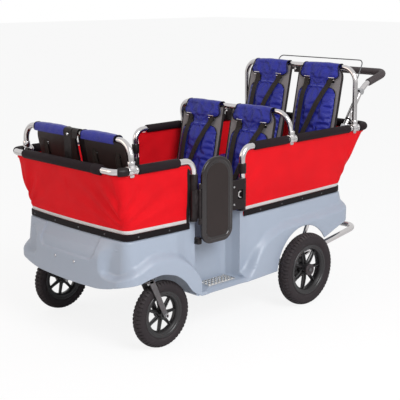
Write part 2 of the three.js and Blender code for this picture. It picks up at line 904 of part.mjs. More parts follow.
function rearPad(from, to) {
  return sleeve([
    [rearRailHalf, from, rearRailAt(from)], [rearRailHalf, to, rearRailAt(to)],
  ], padRadius, railRadius);
}
addPair('middle_side_pad',
  rearPad(rearPostY + postBend + middlePadShort, middleHoopY - clampHalf - padGap), blackFoam);
addPair('rear_side_pad',
  rearPad(middleHoopY + clampHalf + padGap, rearHoopY - clampHalf - rearPadShort), blackFoam);
const rearPadStart = rearHoopY + clampHalf + padGap;
add('rear_rail_pad', closed(sleeve([
  [rearRailHalf, rearPadStart, rearRailAt(rearPadStart)],
  [rearRailHalf, rearRailY, rearRailAt(rearRailY)],
  [-rearRailHalf, rearRailY, rearRailAt(rearRailY)],
  [-rearRailHalf, rearPadStart, rearRailAt(rearPadStart)],
], padRadius, railRadius, rearRailCorner)), blackFoam);

// Hoops that carry the seat backs, clamped to the rails
function hoop(halfWidth, baseY, baseZ, topY, topZ) {
  const legs = [
    [halfWidth, baseY, baseZ], [halfWidth, topY, topZ],
    [-halfWidth, topY, topZ], [-halfWidth, baseY, baseZ],
  ];
  let body = solid(tube(legs, hoopRadius, hoopCorner));
  for (const x of [halfWidth, -halfWidth]) {
    const collar = rod('z', clampNeckRadius, baseZ, baseZ + clampNeck, [x, baseY], tubeSides);
    const ring = rod('y', clampRadius, baseY - clampHalf, baseY + clampHalf, [x, baseZ], tubeSides);
    const bore = rod(
      'y', boreFor(railRadius), baseY - clampHalf - overrun, baseY + clampHalf + overrun,
      [x, baseZ], tubeSides,
    );
    body = joined(body, solid(collar), solid(ring)).subtract(solid(bore));
  }
  return surface(body);
}
add('front_hoop', hoop(
  frontRailHalf, frontHoopY, frontRailHeight, frontHoopY, frontHoopHeight,
), chrome);
add('middle_hoop', hoop(
  rearRailHalf, middleHoopY, rearRailAt(middleHoopY),
  middleHoopY - middleHoopLean, middleHoopHeight,
), chrome);
add('rear_hoop', hoop(
  rearRailHalf, rearHoopY, rearRailAt(rearHoopY), rearHoopY - rearHoopLean, rearHoopHeight,
), chrome);

// Trim strips and cloth sides
const frontSideCounts = { side: 6, corner: 4, face: evenShares(6) };
const rearSideCounts = { side: 9, corner: 4, face: evenShares(4) };
function movedEnd(rim, doorY) {
  const cornerY = rim.faceY - Math.sign(rim.faceY - rim.doorY) * rim.corner;
  const share = (doorY - rim.doorY) / (cornerY - rim.doorY);
  return { ...rim, doorY, doorX: rim.doorX + (rim.sideX - rim.doorX) * share };
}
const frontCloth = movedEnd(frontRim, frontPostY - sleeveRadius - runGap);
const rearCloth = movedEnd(rearRim, rearPostY + sleeveRadius + runGap);
add('front_trim_strip', trimStrip(frontCloth, { ...frontSideCounts, side: 2 }), blackPlastic);
add('rear_trim_strip', trimStrip(rearCloth, { ...rearSideCounts, side: 3 }), blackPlastic);

// The cloth dips where the rail bends down to its post
function clothTop(railTopAt, bendY, toPost, y) {
  const inner = postBend - railRadius - seatGap * 2;
  const past = (y - bendY) * toPost;
  if (past <= 0) return railTopAt(y) - padRadius - seatGap;
  const drop = inner - Math.sqrt(Math.max(0, inner * inner - past * past));
  return railTopAt(y) - railRadius - seatGap * 2 - drop;
}
add('front_cloth', clothSide(frontCloth, {
  doorY: frontCloth.doorY, doorX: frontRailHalf, sideX: frontRailHalf, faceY: frontRailY,
  corner: frontRailCorner, crown: 0, height: frontRailHeight,
}, frontSideCounts, (y) => clothTop(() => frontRailHeight, frontPostY - postBend, 1, y)), redCloth);
add('rear_cloth', clothSide(rearCloth, {
  doorY: rearCloth.doorY, doorX: rearRailHalf, sideX: rearRailHalf, faceY: rearRailY,
  corner: rearRailCorner, crown: 0, height: rearRailHeight,
}, rearSideCounts, (y) => clothTop(rearRailAt, rearPostY + postBend, -1, y)), redCloth);

// Seats: a bent board on the bench, hung at the hoop, with a padded cover over both
const seatRows = [
  {
    name: 'front', facing: 1, barY: frontHoopY, barZ: frontHoopHeight, bench: frontBenchHeight,
  },
  {
    name: 'middle', facing: -1, barY: middleHoopY - middleHoopLean, barZ: middleHoopHeight,
    bench: middleBenchHeight,
  },
  {
    name: 'rear', facing: -1, barY: rearHoopY - rearHoopLean, barZ: rearHoopHeight,
    bench: rearBenchHeight,
  },
];

// Distance in front of the bar and height of the board's two faces
function boardLines(row) {
  const start = hoopRadius + seatGap * 2;
  const top = row.barZ + boardRise;
  const foot = row.bench + seatGap;
  const reach = start + (top - foot) * seatLean;
  return { start, top, foot, reach };
}

function placeSeat(geometry, row) {
  const turnedRound = row.facing > 0 ? geometry : geometry.clone().scale(1, -1, 1);
  return turnedRound.translate(0, row.barY, 0);
}

function seatBoardSolid(row) {
  const { start, top, foot, reach } = boardLines(row);
  const back = seatBoard;
  const shape = new THREE.Shape();
  shape.moveTo(start, top);
  shape.lineTo(reach - seatBend * seatLean, foot + seatBend);
  shape.quadraticCurveTo(reach, foot, reach + seatBend, foot);
  shape.lineTo(reach + seatPan, foot);
  shape.lineTo(reach + seatPan, foot + seatBoard);
  shape.lineTo(reach + seatBend, foot + seatBoard);
  shape.quadraticCurveTo(
    reach + back, foot + seatBoard, reach + back - seatBend * seatLean, foot + seatBend,
  );
  shape.lineTo(start + back, top);
  const width = seatOuter - seatInner;
  let board = solid(sidePlate(shape, seatInner, width, 4));
  const face = plate(roundedBox(
    seatInner, foot - overrun, seatOuter, top, [seatGap, seatGap, seatCorner, seatGap],
  ), reach + seatPan + overrun, 4).rotateX(rightAngle).translate(0, reach + seatPan + seatGap, 0);
  board = board.intersect(solid(face));
  for (const share of beltShares) {
    const x = seatInner + width * share;
    board = board.subtract(solid(block(
      [x - beltSlotHalf, start - overrun, top - beltSlotDrop - beltSlotHeight],
      [x + beltSlotHalf, reach, top - beltSlotDrop],
    )));
  }
  return placeSeat(surface(board), row);
}

// Cover: rows of points round the section, from behind the bar to the front of the seat
function seatCoverSolid(row) {
  const { start, top, foot, reach } = boardLines(row);
  const face = start + seatBoard + seatGap;
  const skin = (hoopRadius + seatGap) / Math.cos(Math.PI / 8);
  const bevel = skin * Math.SQRT1_2;
  const down = (drop) => [face + drop * seatLean, top - drop];
  const width = (seatOuter - seatInner) * half - cushionMargin;
  const backEnd = foot + seatBoard + seatBend;
  const backRun = top - backEnd;
  const seat = foot + seatBoard + seatGap;
  const [thin, thick] = [cushionThickness * half, cushionThickness];
  const bodySeat = bodyShare * seatShare;
  const stations = [
    [-skin, row.barZ - headOver, 1, coverSkin],
    [-skin, row.barZ, 1, coverSkin],
    [-bevel, row.barZ + bevel, 1, coverSkin],
    [0, row.barZ + skin, 1, coverSkin],
    [bevel, row.barZ + skin, 1, coverSkin],
    [...down(seatGap), 1, coverSkin],
    [...down(headDrop), 1, thin],
    [...down(headDrop + coverSkin), neckShare, thin],
    [...down(neckDrop), neckShare, thin],
    [...down(neckDrop + coverSkin), bodyShare, thin],
    [...down(backRun * half), bodyShare, thick],
    [...down(backRun), bodySeat, thick],
    [reach + seatBoard + seatBend * half, seat + seatBend * cornerShare, bodySeat, thick],
    [reach + seatBend + seatBoard, seat, seatShare, thick],
    [reach + seatPan * half + seatBend * half, seat, seatShare, thick],
    [reach + seatPan - cushionMargin, seat, seatShare, thick],
    [reach + seatPan - seatGap, seat, seatShare * bodyShare, thin],
  ];
  const centre = (seatOuter + seatInner) * half;
  const rings = stations.map(([f, z, share, depth], i) => {
    const before = stations[Math.max(0, i - 1)];
    const after = stations[Math.min(stations.length - 1, i + 1)];
    const run = new THREE.Vector2(after[0] - before[0], after[1] - before[1]).normalize();
    const out = new THREE.Vector2(-run.y, run.x);
    const crown = depth === thick ? cushionCrown : 0;
    return coverSection.map(([across, lift]) => {
      const rise = depth * lift + (lift > 1 ? crown : 0);
      return new THREE.Vector3(
        centre + width * share * across, f + out.x * rise, z + out.y * rise,
      );
    });
  });
  return placeSeat(closed(ringSolid(rings)), row);
}
// The recess walls take a corner off the seats beside the doors
const doorCorner = plate(recessShape(wall + runGap), rimHeight - rearBenchHeight + middleHoopHeight)
  .translate(0, 0, stepSeatHeight);
for (const row of seatRows) {
  const clear = (geometry) => surface(solid(geometry).subtract(solid(doorCorner)));
  addPair(`${row.name}_seat_board`, clear(seatBoardSolid(row)), boardPlastic);
  addPair(`${row.name}_seat_cover`, clear(seatCoverSolid(row)), blueCloth);
}

// Doors: rounded leaf with a raised rim, two knuckles on the hinge pin
function doorLeaf() {
  const outline = (inset) => roundedBox(
    doorFrontY + inset, doorLow + inset, doorRearY - inset, doorHigh - inset,
    [doorFootCorner - inset * half, doorFootCorner - inset * half,
      doorTopCorner - inset, doorTopCorner - inset],
  );
  let leaf = solid(sidePlate(outline(0), doorInnerX, doorThickness, 4));
  const panel = sidePlate(
    outline(doorRim), doorInnerX + doorThickness - doorPanelDepth, doorThickness, 3,
  );
  leaf = leaf.subtract(solid(panel));
  const bore = rod(
    'z', boreFor(pinRadius), doorLow, doorHigh, [hingeX, hingeY], tubeSides,
  );
  for (const low of [hingeHigh + runGap * half, hingeLow - runGap * half - knuckleLength]) {
    const knuckle = rod('z', knuckleRadius, low, low + knuckleLength, [hingeX, hingeY], tubeSides);
    const arm = block(
      [hingeX - pinRadius, hingeY, low], [hingeX + pinRadius, doorFrontY + overrun, low + knuckleLength],
    );
    leaf = joined(leaf, solid(knuckle), solid(arm));
  }
  return surface(leaf.subtract(solid(bore)));
}
addPair('door', doorLeaf(), blackPlastic);

// Hinge: sleeve on the post, plate, barrel and pin
function doorHinge() {
  const holder = rod(
    'z', sleeveRadius, hingeLow, hingeHigh + postSleeve, [frontRailHalf, frontPostY], tubeSides,
  );
  const bore = rod(
    'z', boreFor(railRadius), hingeLow - overrun, hingeHigh + postSleeve + overrun,
    [frontRailHalf, frontPostY], tubeSides,
  );
  const face = block(
    [frontRailHalf + railRadius + runGap, frontPostY - hingeWing, hingeLow],
    [frontRailHalf + railRadius + runGap + plateThickness, hingeY, hingeHigh],
  );
  const barrel = rod('z', knuckleRadius, hingeLow, hingeHigh, [hingeX, hingeY], tubeSides);
  const pin = rod(
    'z', pinRadius, hingeLow - knuckleLength, hingeHigh + knuckleLength,
    [hingeX, hingeY], tubeSides,
  );
  return surface(joined(solid(holder), solid(face)).subtract(solid(bore)).add(solid(barrel)).add(solid(pin)));
}
addPair('door_hinge', doorHinge(), blackPlastic);

// Latch: sleeve on the rear post and a notched plate with a window for the thumb catch
const latchPlateX = doorInnerX + runGap;
const latchMiddle = (latchLow + latchHigh) * half;
const windowRearY = latchRearY - latchWindow;
function latchPlate() {
  const shape = roundedBox(latchFrontY, latchLow, latchRearY, latchHigh, latchCorner);
  shape.holes.push(roundedBox(
    windowRearY - latchWindow, latchMiddle - latchWindow * windowShare,
    windowRearY, latchMiddle + latchWindow * windowShare, latchCorner,
  ));
  const face = sidePlate(shape, latchPlateX, plateThickness, 2);
  const holder = rod(
    'z', sleeveRadius, latchLow, latchHigh + postSleeve, [rearRailHalf, rearPostY], tubeSides,
  );
  const bore = rod(
    'z', boreFor(railRadius), latchLow - overrun, latchHigh + postSleeve + overrun,
    [rearRailHalf, rearPostY], tubeSides,
  );
  let body = solid(face).add(solid(holder));
  for (const low of [latchLow, latchHigh - latchPad]) {
    body = body.add(solid(block(
      [rearRailHalf, latchRearY - sleeveRadius, low],
      [latchPlateX + plateThickness * half, latchRearY, low + latchPad],
    )));
  }
  return surface(body.subtract(solid(bore)));
}
addPair('latch_plate', latchPlate(), blackPlastic);

function latchCatch() {
  const behind = latchPlateX - seatGap;
  const thumbRear = windowRearY - catchTravel - runGap;
  const bolt = block(
    [behind - catchThickness, doorRearY + runGap, latchMiddle - catchHalf * half],
    [behind, thumbRear, latchMiddle + catchHalf * half],
  );
  const thumb = block(
    [behind - catchThickness, thumbRear - catchHalf, latchMiddle - catchHalf],
    [latchPlateX + plateThickness + runGap, thumbRear, latchMiddle + catchHalf],
  );
  return surface(solid(bolt).add(solid(thumb)));
}
addPair('latch_catch', latchCatch(), chrome);

// Perforated step plates in the recesses
function stepPlate() {
  const back = rimHalfDoor + flare - recessDepth + recessGap;
  const middle = (recessFrontY + recessRearY) * half + stepShift;
  const shape = roundedBox(
    back, middle - stepLength * half, back + stepWidth, middle + stepLength * half, stepCorner,
  );
  for (let i = 0; i < stepHoles; i += 1) {
    for (const across of stepHoleShares) {
      const y = middle + stepLength * ((i + half) / stepHoles - half);
      const hole = new THREE.Path();
      hole.absarc(back + stepWidth * across, y, stepHole, 0, fullTurn, true);
      shape.holes.push(hole);
    }
  }
  return plate(shape, stepThickness, 3).translate(0, 0, stepSeatHeight + seatGap);
}
addPair('step_plate', stepPlate(), steel);

// Chassis: side tubes that end in the rear loop, legs to the caster heads, axle brackets
const chassisLow = floorHeight - wall - seatGap - chassisTube;
const legEndY = footwellRearY + legOverlap;
function chassisFrame() {
  const side = (x) => [
    [x * chassisHalf, chassisNoseY, chassisLow], [x * chassisHalf, -riseY, chassisLow],
    [x * loopHalf, riseEndY, riseEndHeight], [x * loopHalf, loopY, loopHeight],
  ];
  const bends = [riseBend, riseBend, loopCorner, loopCorner, riseBend, riseBend];
  let frame = solid(tube([...side(1), ...side(-1).reverse()], chassisTube, bends));
  const leg = (x) => [
    [x * legHalf, swivelY, crossHeight], [x * legHalf, legY, crossHeight],
    [x * legHalf, legY, chassisLow], [x * legHalf, legEndY, chassisLow],
  ];
  for (const x of [1, -1]) frame = frame.add(solid(tube(leg(x), chassisTube, legBend)));
  const cross = (y, z, reach) => solid(rod('x', chassisTube, -reach, reach, [y, z], tubeSides));
  frame = joined(
    frame, cross(legEndY, chassisLow, chassisHalf), cross(swivelY, crossHeight, casterHalf),
    cross(chassisNoseY + overrun * 2, chassisLow, chassisHalf),
  );
  for (const x of [1, -1]) {
    const head = rod('z', headRadius, headLow, headHigh, [x * casterHalf, swivelY], boltSides);
    const headBore = rod(
      'z', boreFor(stemRadius, boltSides), headLow - overrun, headHigh + overrun,
      [x * casterHalf, swivelY], boltSides,
    );
    const strut = tube([
      [x * strutFootX, strutFootY, strutFootHeight],
      [x * strutTopX, strutTopY, footboardHeight - wall - strutRadius * half],
    ], strutRadius);
    const bracketMiddle = x * bracketX;
    const bracket = block(
      [bracketMiddle - plateThickness * half, -bracketHalf, rearWheelRadius - bracketHalf],
      [bracketMiddle + plateThickness * half, bracketHalf, bracketTop],
    );
    frame = joined(frame, solid(head), solid(strut), solid(bracket)).subtract(solid(headBore));
  }
  const axleBore = rod(
    'x', boreFor(axleRadius, boltSides), -rearHalf, rearHalf, [0, rearWheelRadius], boltSides,
  );
  return surface(frame.subtract(solid(axleBore)));
}
add('chassis_frame', chassisFrame(), chrome);

// Rear axle with the fixed brake plates
const drumInnerX = rearHalf - rearTyreWidth * half - drumWidth;
function rearAxle() {
  const end = rearHalf + rearTyreWidth * half + axleNutLength;
  const at = [0, rearWheelRadius];
  let axle = solid(rod('x', axleRadius, -end, end, at, boltSides));
  for (const x of [1, -1]) {
    const faces = [drumInnerX - runGap - brakePlate, drumInnerX - runGap].map((face) => x * face);
    const [near, far] = [Math.min(...faces), Math.max(...faces)];
    const disc = rod('x', drumRadius, near, far, at, drumSides);
    const bore = rod(
      'x', boreFor(brakePinRadius), near - overrun * half, far + overrun * half,
      [brakePivotY, rearWheelRadius + brakePivotRise], tubeSides,
    );
    axle = axle.add(solid(disc)).subtract(solid(bore));
  }
  return surface(axle);
}
add('rear_axle', rearAxle(), steel);

function brakeArm() {
  const outer = drumInnerX - runGap - brakePlate - seatGap;
  const shape = new THREE.Shape();
  const [y, z] = [brakePivotY, rearWheelRadius + brakePivotRise];
  const tip = [y + brakeArmLength * half, z + brakeArmLength * armShare];
  const lean = Math.atan2(tip[1] - z, tip[0] - y);
  const [big, small] = [brakeArmWidth * half, brakeArmWidth * half * half];
  shape.absarc(y, z, big, lean + rightAngle, lean - rightAngle + fullTurn, false);
  shape.absarc(...tip, small, lean - rightAngle, lean + rightAngle, false);
  const arm = sidePlate(shape, outer - brakeArmThickness, brakeArmThickness, 4);
  const pin = rod('x', brakePinRadius, outer - seatGap, outer + brakePlate, [y, z], tubeSides);
  return surface(solid(arm).add(solid(pin)));
}
addPair('brake_arm', brakeArm(), steel);

// Wheels: the flats of the faceted tread touch the floor
const flatRadius = (radius) => radius / Math.cos(Math.PI / roundSides);
function tyre(radius, width, place) {
  const bead = radius * (1 - tyreDepthShare);
  const outer = flatRadius(radius);
  const profile = tyreShares.map(([rise, across]) => [
    bead + (outer - bead) * rise, width * half * across,
  ]);
  return turned([...profile, profile[0]], place);
}

function rim(radius, width, hub, bore, place, drum) {
  const seat = radius * (1 - tyreDepthShare) - seatGap;
  const inner = seat - rimDepth;
  const ring = rimShares.map(([rise, across]) => [
    inner + (seat - inner) * rise, width * half * across,
  ]);
  let wheel = solid(turned([...ring, ring[0]], place));
  const hubHalf = width * half;
  const core = turned([
    [0, -hubHalf], [hub, -hubHalf], [hub, hubHalf - hubBevel], [hub - hubBevel, hubHalf],
    [0, hubHalf],
  ], place, boltSides);
  wheel = wheel.add(solid(core));
  for (let i = 0; i < spokeCount; i += 1) {
    const shape = new THREE.Shape();
    shape.moveTo(-spokeRoot, hub * half);
    shape.lineTo(spokeRoot, hub * half);
    shape.lineTo(spokeTip, inner + rimDepth * half);
    shape.lineTo(-spokeTip, inner + rimDepth * half);
    const spoke = sidePlate(shape, -spokeDepth * half, spokeDepth)
      .rotateX((fullTurn * i) / spokeCount).translate(...place);
    wheel = wheel.add(solid(spoke));
  }
  if (drum) {
    const at = [place[1], place[2]];
    wheel = wheel.add(solid(rod('x', drumRadius, drumInnerX, rearHalf - spokeDepth * half, at, drumSides)));
  }
  const through = rod(
    'x', boreFor(bore, boltSides), place[0] - width, place[0] + width, [place[1], place[2]], boltSides,
  );
  return surface(wheel.subtract(solid(through)));
}
const rearPlace = [rearHalf, 0, rearWheelRadius];
const frontPlace = [casterHalf, frontAxleY, frontWheelRadius];
addPair('rear_tyre', tyre(rearWheelRadius, rearTyreWidth, rearPlace), tyreRubber);
addPair('rear_rim', rim(
  rearWheelRadius, rearTyreWidth, hubRadius, axleRadius, rearPlace, true,
), blackPlastic);
addPair('front_tyre', tyre(frontWheelRadius, frontTyreWidth, frontPlace), tyreRubber);
addPair('front_rim', rim(
  frontWheelRadius, frontTyreWidth, frontHubRadius, casterAxleRadius, frontPlace, false,
), blackPlastic);

// Caster forks: crown, stem, two swept blades and the wheel bolt
function casterFork() {
  const shape = new THREE.Shape();
  const lean = Math.atan2(forkTop - frontWheelRadius, swivelY - frontAxleY);
  const small = bladeWidth * half * bladeTaper;
  shape.moveTo(swivelY + bladeWidth * half, forkTop);
  shape.lineTo(swivelY - bladeWidth * half, forkTop);
  shape.absarc(frontAxleY, frontWheelRadius, small, lean + rightAngle, lean - rightAngle + fullTurn, false);
  let fork = solid(sidePlate(shape, casterHalf + forkHalf - bladeThickness, bladeThickness, 4));
  fork = fork.add(solid(sidePlate(shape, casterHalf - forkHalf, bladeThickness, 4)));
  const crown = block(
    [casterHalf - forkHalf, swivelY - bladeWidth * half, forkTop - crownThickness],
    [casterHalf + forkHalf, swivelY + bladeWidth * half, forkTop],
  );
  const at = [casterHalf, swivelY];
  const nutEnd = headHigh + runGap + axleNutLength;
  const stem = rod('z', stemRadius, forkTop - runGap, nutEnd, at, boltSides);
  const collar = rod('z', headRadius - runGap, forkTop - runGap, headLow - seatGap, at, boltSides);
  const nut = rod('z', stemRadius + axleNutLength * half, headHigh + seatGap, nutEnd, at, wireSides);
  const bolt = rod(
    'x', casterAxleRadius, casterHalf - forkHalf - axleNutLength,
    casterHalf + forkHalf + axleNutLength, [frontAxleY, frontWheelRadius], boltSides,
  );
  return surface(joined(fork, ...[crown, stem, collar, nut, bolt].map(solid)));
}
addPair('caster_fork', casterFork(), steel);

// Push handle, its grip, the brake bail and the cable
const handleSide = (x) => [
  [x * handleHalf, handleBaseY, handleBaseHeight], [x * handleHalf, handleBendY, handleBendHeight],
  [x * handleHalf, gripLowY, gripLowHeight], [x * handleHalf, gripY, gripHeight],
];
const handleBends = [handleBend, handleBend, gripCorner, gripCorner, handleBend, handleBend];
function pushHandle() {
  let body = solid(tube([...handleSide(1), ...handleSide(-1).reverse()], handleRadius, handleBends));
  for (const x of [1, -1]) {
    const clampFace = rearRailHalf - clampRadius - seatGap;
    const foot = block(
      [Math.min(x * handleHalf, x * clampFace), rearHoopY - clampHalf, handleBaseHeight],
      [Math.max(x * handleHalf, x * clampFace), handleFootEndY, handleBaseHeight + clampHalf],
    );
    const pivot = rod(
      'x', collarRadius, Math.min(x * (handleHalf - handleRadius), x * (handleHalf + handleRadius)),
      Math.max(x * (handleHalf - handleRadius), x * (handleHalf + handleRadius)),
      [handleBendY, handleBendHeight], boltSides,
    );
    body = joined(body, solid(foot), solid(pivot));
  }
  return surface(body);
}
add('push_handle', pushHandle(), chrome);
add('handle_grip', closed(sleeve(
  [[handleHalf, gripLowY + gripBack, gripLowHeight + gripBack * gripSlope],
    [handleHalf, gripY, gripHeight], [-handleHalf, gripY, gripHeight],
    [-handleHalf, gripLowY + gripBack, gripLowHeight + gripBack * gripSlope]],
  gripRadius, handleRadius, gripCorner,
)), blackFoam);
const bailFootX = handleHalf - handleRadius - seatGap * 2;
const bailSide = (x) => [
  [x * bailFootX, handleBendY, handleBendHeight], [x * bailHalf, handleBendY, handleBendHeight],
  [x * bailHalf, bailTopY, bailTopHeight],
];
add('brake_bail', closed(tube(
  [...bailSide(1), ...bailSide(-1).reverse()], bailRadius,
  [bailFootBend, bailCorner, bailCorner, bailFootBend], wireSides,
)), darkWire);
const cableX = handleHalf - handleRadius * Math.cos(Math.PI / tubeSides) - cableRadius - seatGap;
const armAt = (share) => [
  cableX, THREE.MathUtils.lerp(handleBaseY, handleBendY, share),
  THREE.MathUtils.lerp(handleBaseHeight, handleBendHeight, share),
];
add('brake_cable', closed(tube([
  armAt(cableTopShare), armAt(0), [cableX, cableLoopY, cableLoopHeight],
  [rearRailHalf - padRadius - cableRadius, cableLoopY, cableLoopHeight],
  [rearRailHalf - padRadius - cableRadius, cableLoopY, cableEndHeight],
], cableRadius, [handleBend, cableBend, cableBend], wireSides)), darkWire);

const stroller = new THREE.Group().add(...meshes);
const footprint = new THREE.Box3().setFromObject(stroller);
const centre = footprint.getCenter(new THREE.Vector3());
stroller.position.set(-centre.x, -centre.y, -footprint.min.z);

export default stroller;
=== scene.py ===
"""Six-seat day-care stroller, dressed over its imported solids.

Every piece is an operator of the add-on; the sizes and colours that a user may
change are in the property groups. Lengths are in metres. The makers below work
with Y counted from the rear axle, as the stroller is drawn, and `here` moves
them into the frame.
"""

from math import atan2, copysign, cos, exp, hypot, pi, radians, sin, sqrt, tan, tau

import bmesh
import bpy
import numpy as np
from bpy.props import FloatProperty, FloatVectorProperty, IntProperty, PointerProperty
from mathutils import Matrix, Vector, noise


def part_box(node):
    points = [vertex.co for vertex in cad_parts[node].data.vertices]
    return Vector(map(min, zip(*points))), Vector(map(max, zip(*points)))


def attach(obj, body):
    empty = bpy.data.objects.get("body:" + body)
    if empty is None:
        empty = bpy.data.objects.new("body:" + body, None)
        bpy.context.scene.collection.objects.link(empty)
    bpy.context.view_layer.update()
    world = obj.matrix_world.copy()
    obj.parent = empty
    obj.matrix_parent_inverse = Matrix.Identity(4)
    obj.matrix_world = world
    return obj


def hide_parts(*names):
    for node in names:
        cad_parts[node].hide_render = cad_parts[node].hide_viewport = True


bl_info = {
    "name": "Day-care stroller",
    "version": (1, 0, 0),
    "blender": (4, 5, 0),
    "location": "3D View > Sidebar > Stroller",
    "description": "Builds the six-seat day-care stroller piece by piece",
    "category": "Add Mesh",
}

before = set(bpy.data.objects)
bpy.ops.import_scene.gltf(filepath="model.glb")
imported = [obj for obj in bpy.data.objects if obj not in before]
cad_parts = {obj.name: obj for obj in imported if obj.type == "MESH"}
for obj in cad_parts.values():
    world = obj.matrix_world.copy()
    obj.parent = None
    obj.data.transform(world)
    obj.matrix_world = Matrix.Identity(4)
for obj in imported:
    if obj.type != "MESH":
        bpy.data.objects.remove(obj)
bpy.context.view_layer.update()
SIDES = (("left", 1), ("right", -1))


def middle(node, axis):
    low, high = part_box(node)
    return (low[axis] + high[axis]) / 2


AXLE_Y = middle("rear_tyre_left", 1)


def here(point):
    return Vector((point[0], point[1] + AXLE_Y, point[2]))


# Properties


def length(label, default, text):
    return FloatProperty(name=label, default=default, description=text, unit="LENGTH", min=0.0005)


def paint(label, default, text):
    return FloatVectorProperty(name=label, default=default, description=text, subtype="COLOR",
                               size=3, min=0, max=1)


class TubProps(bpy.types.PropertyGroup):
    """Sizes of the moulded tub."""

    rim: length("Rim height", 0.458, "Height of the rim above the floor")
    wall: length("Wall", 0.006, "Thickness of the moulded wall")
    flare: length("Flare", 0.046, "How far the skirt stands out from the rim")
    softness: length("Shoulder softness", 0.02, "Half height of the shoulder on the sides")
    face_softness: length("Bumper softness", 0.012, "Half height of the shoulder on the front")
    ledge: length("Ledge", 0.009, "How far the ledge under the rim stands out")
    ledge_drop: length("Ledge drop", 0.006, "Height of the ledge's rounded edge")
    lean: length("Lean", 0.013, "How far the wall leans out above the shoulder")
    swell_half: length("Swell", 0.203, "Half width of the swell on the front face")
    swell_foot: length("Swell foot", 0.345, "Height at which the swell is full")
    floor: length("Floor", 0.178, "Height of the floor between the doors")
    step: length("Step seat", 0.185, "Height of the ledge that carries a step plate")
    sill: length("Sill", 0.366, "Height of the sill beside a door")
    bench: length("Bench", 0.4, "Height of the front and middle benches")
    footboard: length("Footboard", 0.346, "Height of the footboard before the rear bench")
    rear_bench: length("Rear bench", 0.54, "Height of the rear bench")
    arch: length("Wheel arch", 0.181, "Radius of the arch over a rear wheel")


class TubeProps(bpy.types.PropertyGroup):
    """Sizes of the tubes and of what is clamped round them."""

    rail: length("Rail radius", 0.0125, "Radius of the side rails")
    hoop: length("Hoop radius", 0.011, "Radius of the seat hoops")
    handle: length("Handle radius", 0.0115, "Radius of the push handle's tube")
    chassis: length("Chassis radius", 0.0125, "Radius of the chassis tubes")
    pad: length("Pad radius", 0.0175, "Radius of the foam pads")
    sleeve: length("Sleeve radius", 0.0165, "Radius of the black sleeves")
    grip: length("Grip radius", 0.0165, "Radius of the foam grip")
    wire: length("Wire radius", 0.0025, "Radius of the bail and the brake cable")


class SeatProps(bpy.types.PropertyGroup):
    """Sizes of the seats."""

    board: length("Board", 0.008, "Thickness of the seat board")
    cushion: length("Cushion", 0.024, "Thickness of the padded cover")
    belt: length("Belt", 0.025, "Width of the harness belts")
    puff: FloatProperty(name="Puff", default=4.0, min=0, description="Pressure of the filling")


class WheelProps(bpy.types.PropertyGroup):
    """Sizes of the wheels."""

    spokes: IntProperty(name="Spokes", default=7, min=3, description="Spokes of each rim")
    lugs: IntProperty(name="Tread blocks", default=58, min=8, description="Blocks round a tyre")
    tread: length("Tread depth", 0.0042, "Depth of the grooves between the tread blocks")


class ColourProps(bpy.types.PropertyGroup):
    """Colours of the finishes."""

    tub: paint("Tub", (0.30, 0.345, 0.42), "Blue-grey moulded plastic")
    red: paint("Side cloth", (0.70, 0.005, 0.011), "Red coated canvas")
    blue: paint("Seat cloth", (0.018, 0.023, 0.255), "Blue padded cloth")
    black: paint("Black parts", (0.012, 0.0085, 0.009), "Moulded black plastic")
    foam: paint("Foam", (0.014, 0.009, 0.011), "Black foam")
    rubber: paint("Tyres", (0.018, 0.013, 0.015), "Tyre rubber")
    metal: paint("Bright tube", (0.62, 0.60, 0.60), "Polished tube")
    belt: paint("Belts", (0.023, 0.017, 0.014), "Woven belt")
    zinc: paint("Plated steel", (0.5, 0.5, 0.51), "Forks and brackets")


class StageProps(bpy.types.PropertyGroup):
    """Camera, lamps and floor."""

    lens: FloatProperty(name="Lens", default=85.4, description="Focal length in millimetres")
    floor: paint("Floor", (0.93, 0.93, 0.93), "Plain pale floor")
    glow: FloatProperty(name="Floor glow", default=0.86, min=0, max=1,
                        description="Share of plain white that the camera sees in the floor")
    sky: FloatProperty(name="Sky", default=0.58, min=0, description="Strength of the even light")
    key: FloatProperty(name="Key lamp", default=120, min=0, unit="POWER", description="Main lamp")
    fill: FloatProperty(name="Fill lamp", default=23, min=0, unit="POWER", description="Side lamp")


GROUPS = {
    "stroller_tub": TubProps,
    "stroller_tubes": TubeProps,
    "stroller_seats": SeatProps,
    "stroller_wheels": WheelProps,
    "stroller_colours": ColourProps,
    "stroller_stage": StageProps,
}


def sizes(group):
    """The values of one property group."""
    return getattr(bpy.context.scene, f"stroller_{group}")


# Mesh makers

SLOT_OF = {}


def placed(name, data):
    """A new object in the scene."""
    made = bpy.data.objects.new(name, data)
    bpy.context.scene.collection.objects.link(made)
    return made


def put(name, shape, material, nodes=(), body="frame", slot=None, sharp=35, bevel=0):
    """Makes one piece from (points, faces) in axle coordinates."""
    points, faces = shape
    mesh = bpy.data.meshes.new(name)
    mesh.from_pydata([here(p) for p in points], [], [tuple(int(i) for i in f) for f in faces])
    mesh.validate()
    clean(mesh)
    mesh.shade_smooth()
    mesh.set_sharp_from_angle(angle=radians(sharp))
    mesh.materials.append(material)
    piece = placed(name, mesh)
    if bevel:
        edge = piece.modifiers.new("Rounded edges", "BEVEL")
        edge.width, edge.segments = bevel, 2
        edge.limit_method, edge.angle_limit = "ANGLE", radians(30)
    slot = slot or SLOT_OF[material.name]
    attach(piece, body)
    if nodes:
        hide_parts(*nodes)
    return piece


def both(name, shape, material, nodes=(), body="frame", **more):
    """The same piece on the left and, mirrored, on the right. A side's name fills the braces."""
    return [put(f"{name}_{side}", shape if sign > 0 else mirrored(shape), material,
                [n.format(side) for n in nodes], body.format(side), **more) for side, sign in SIDES]


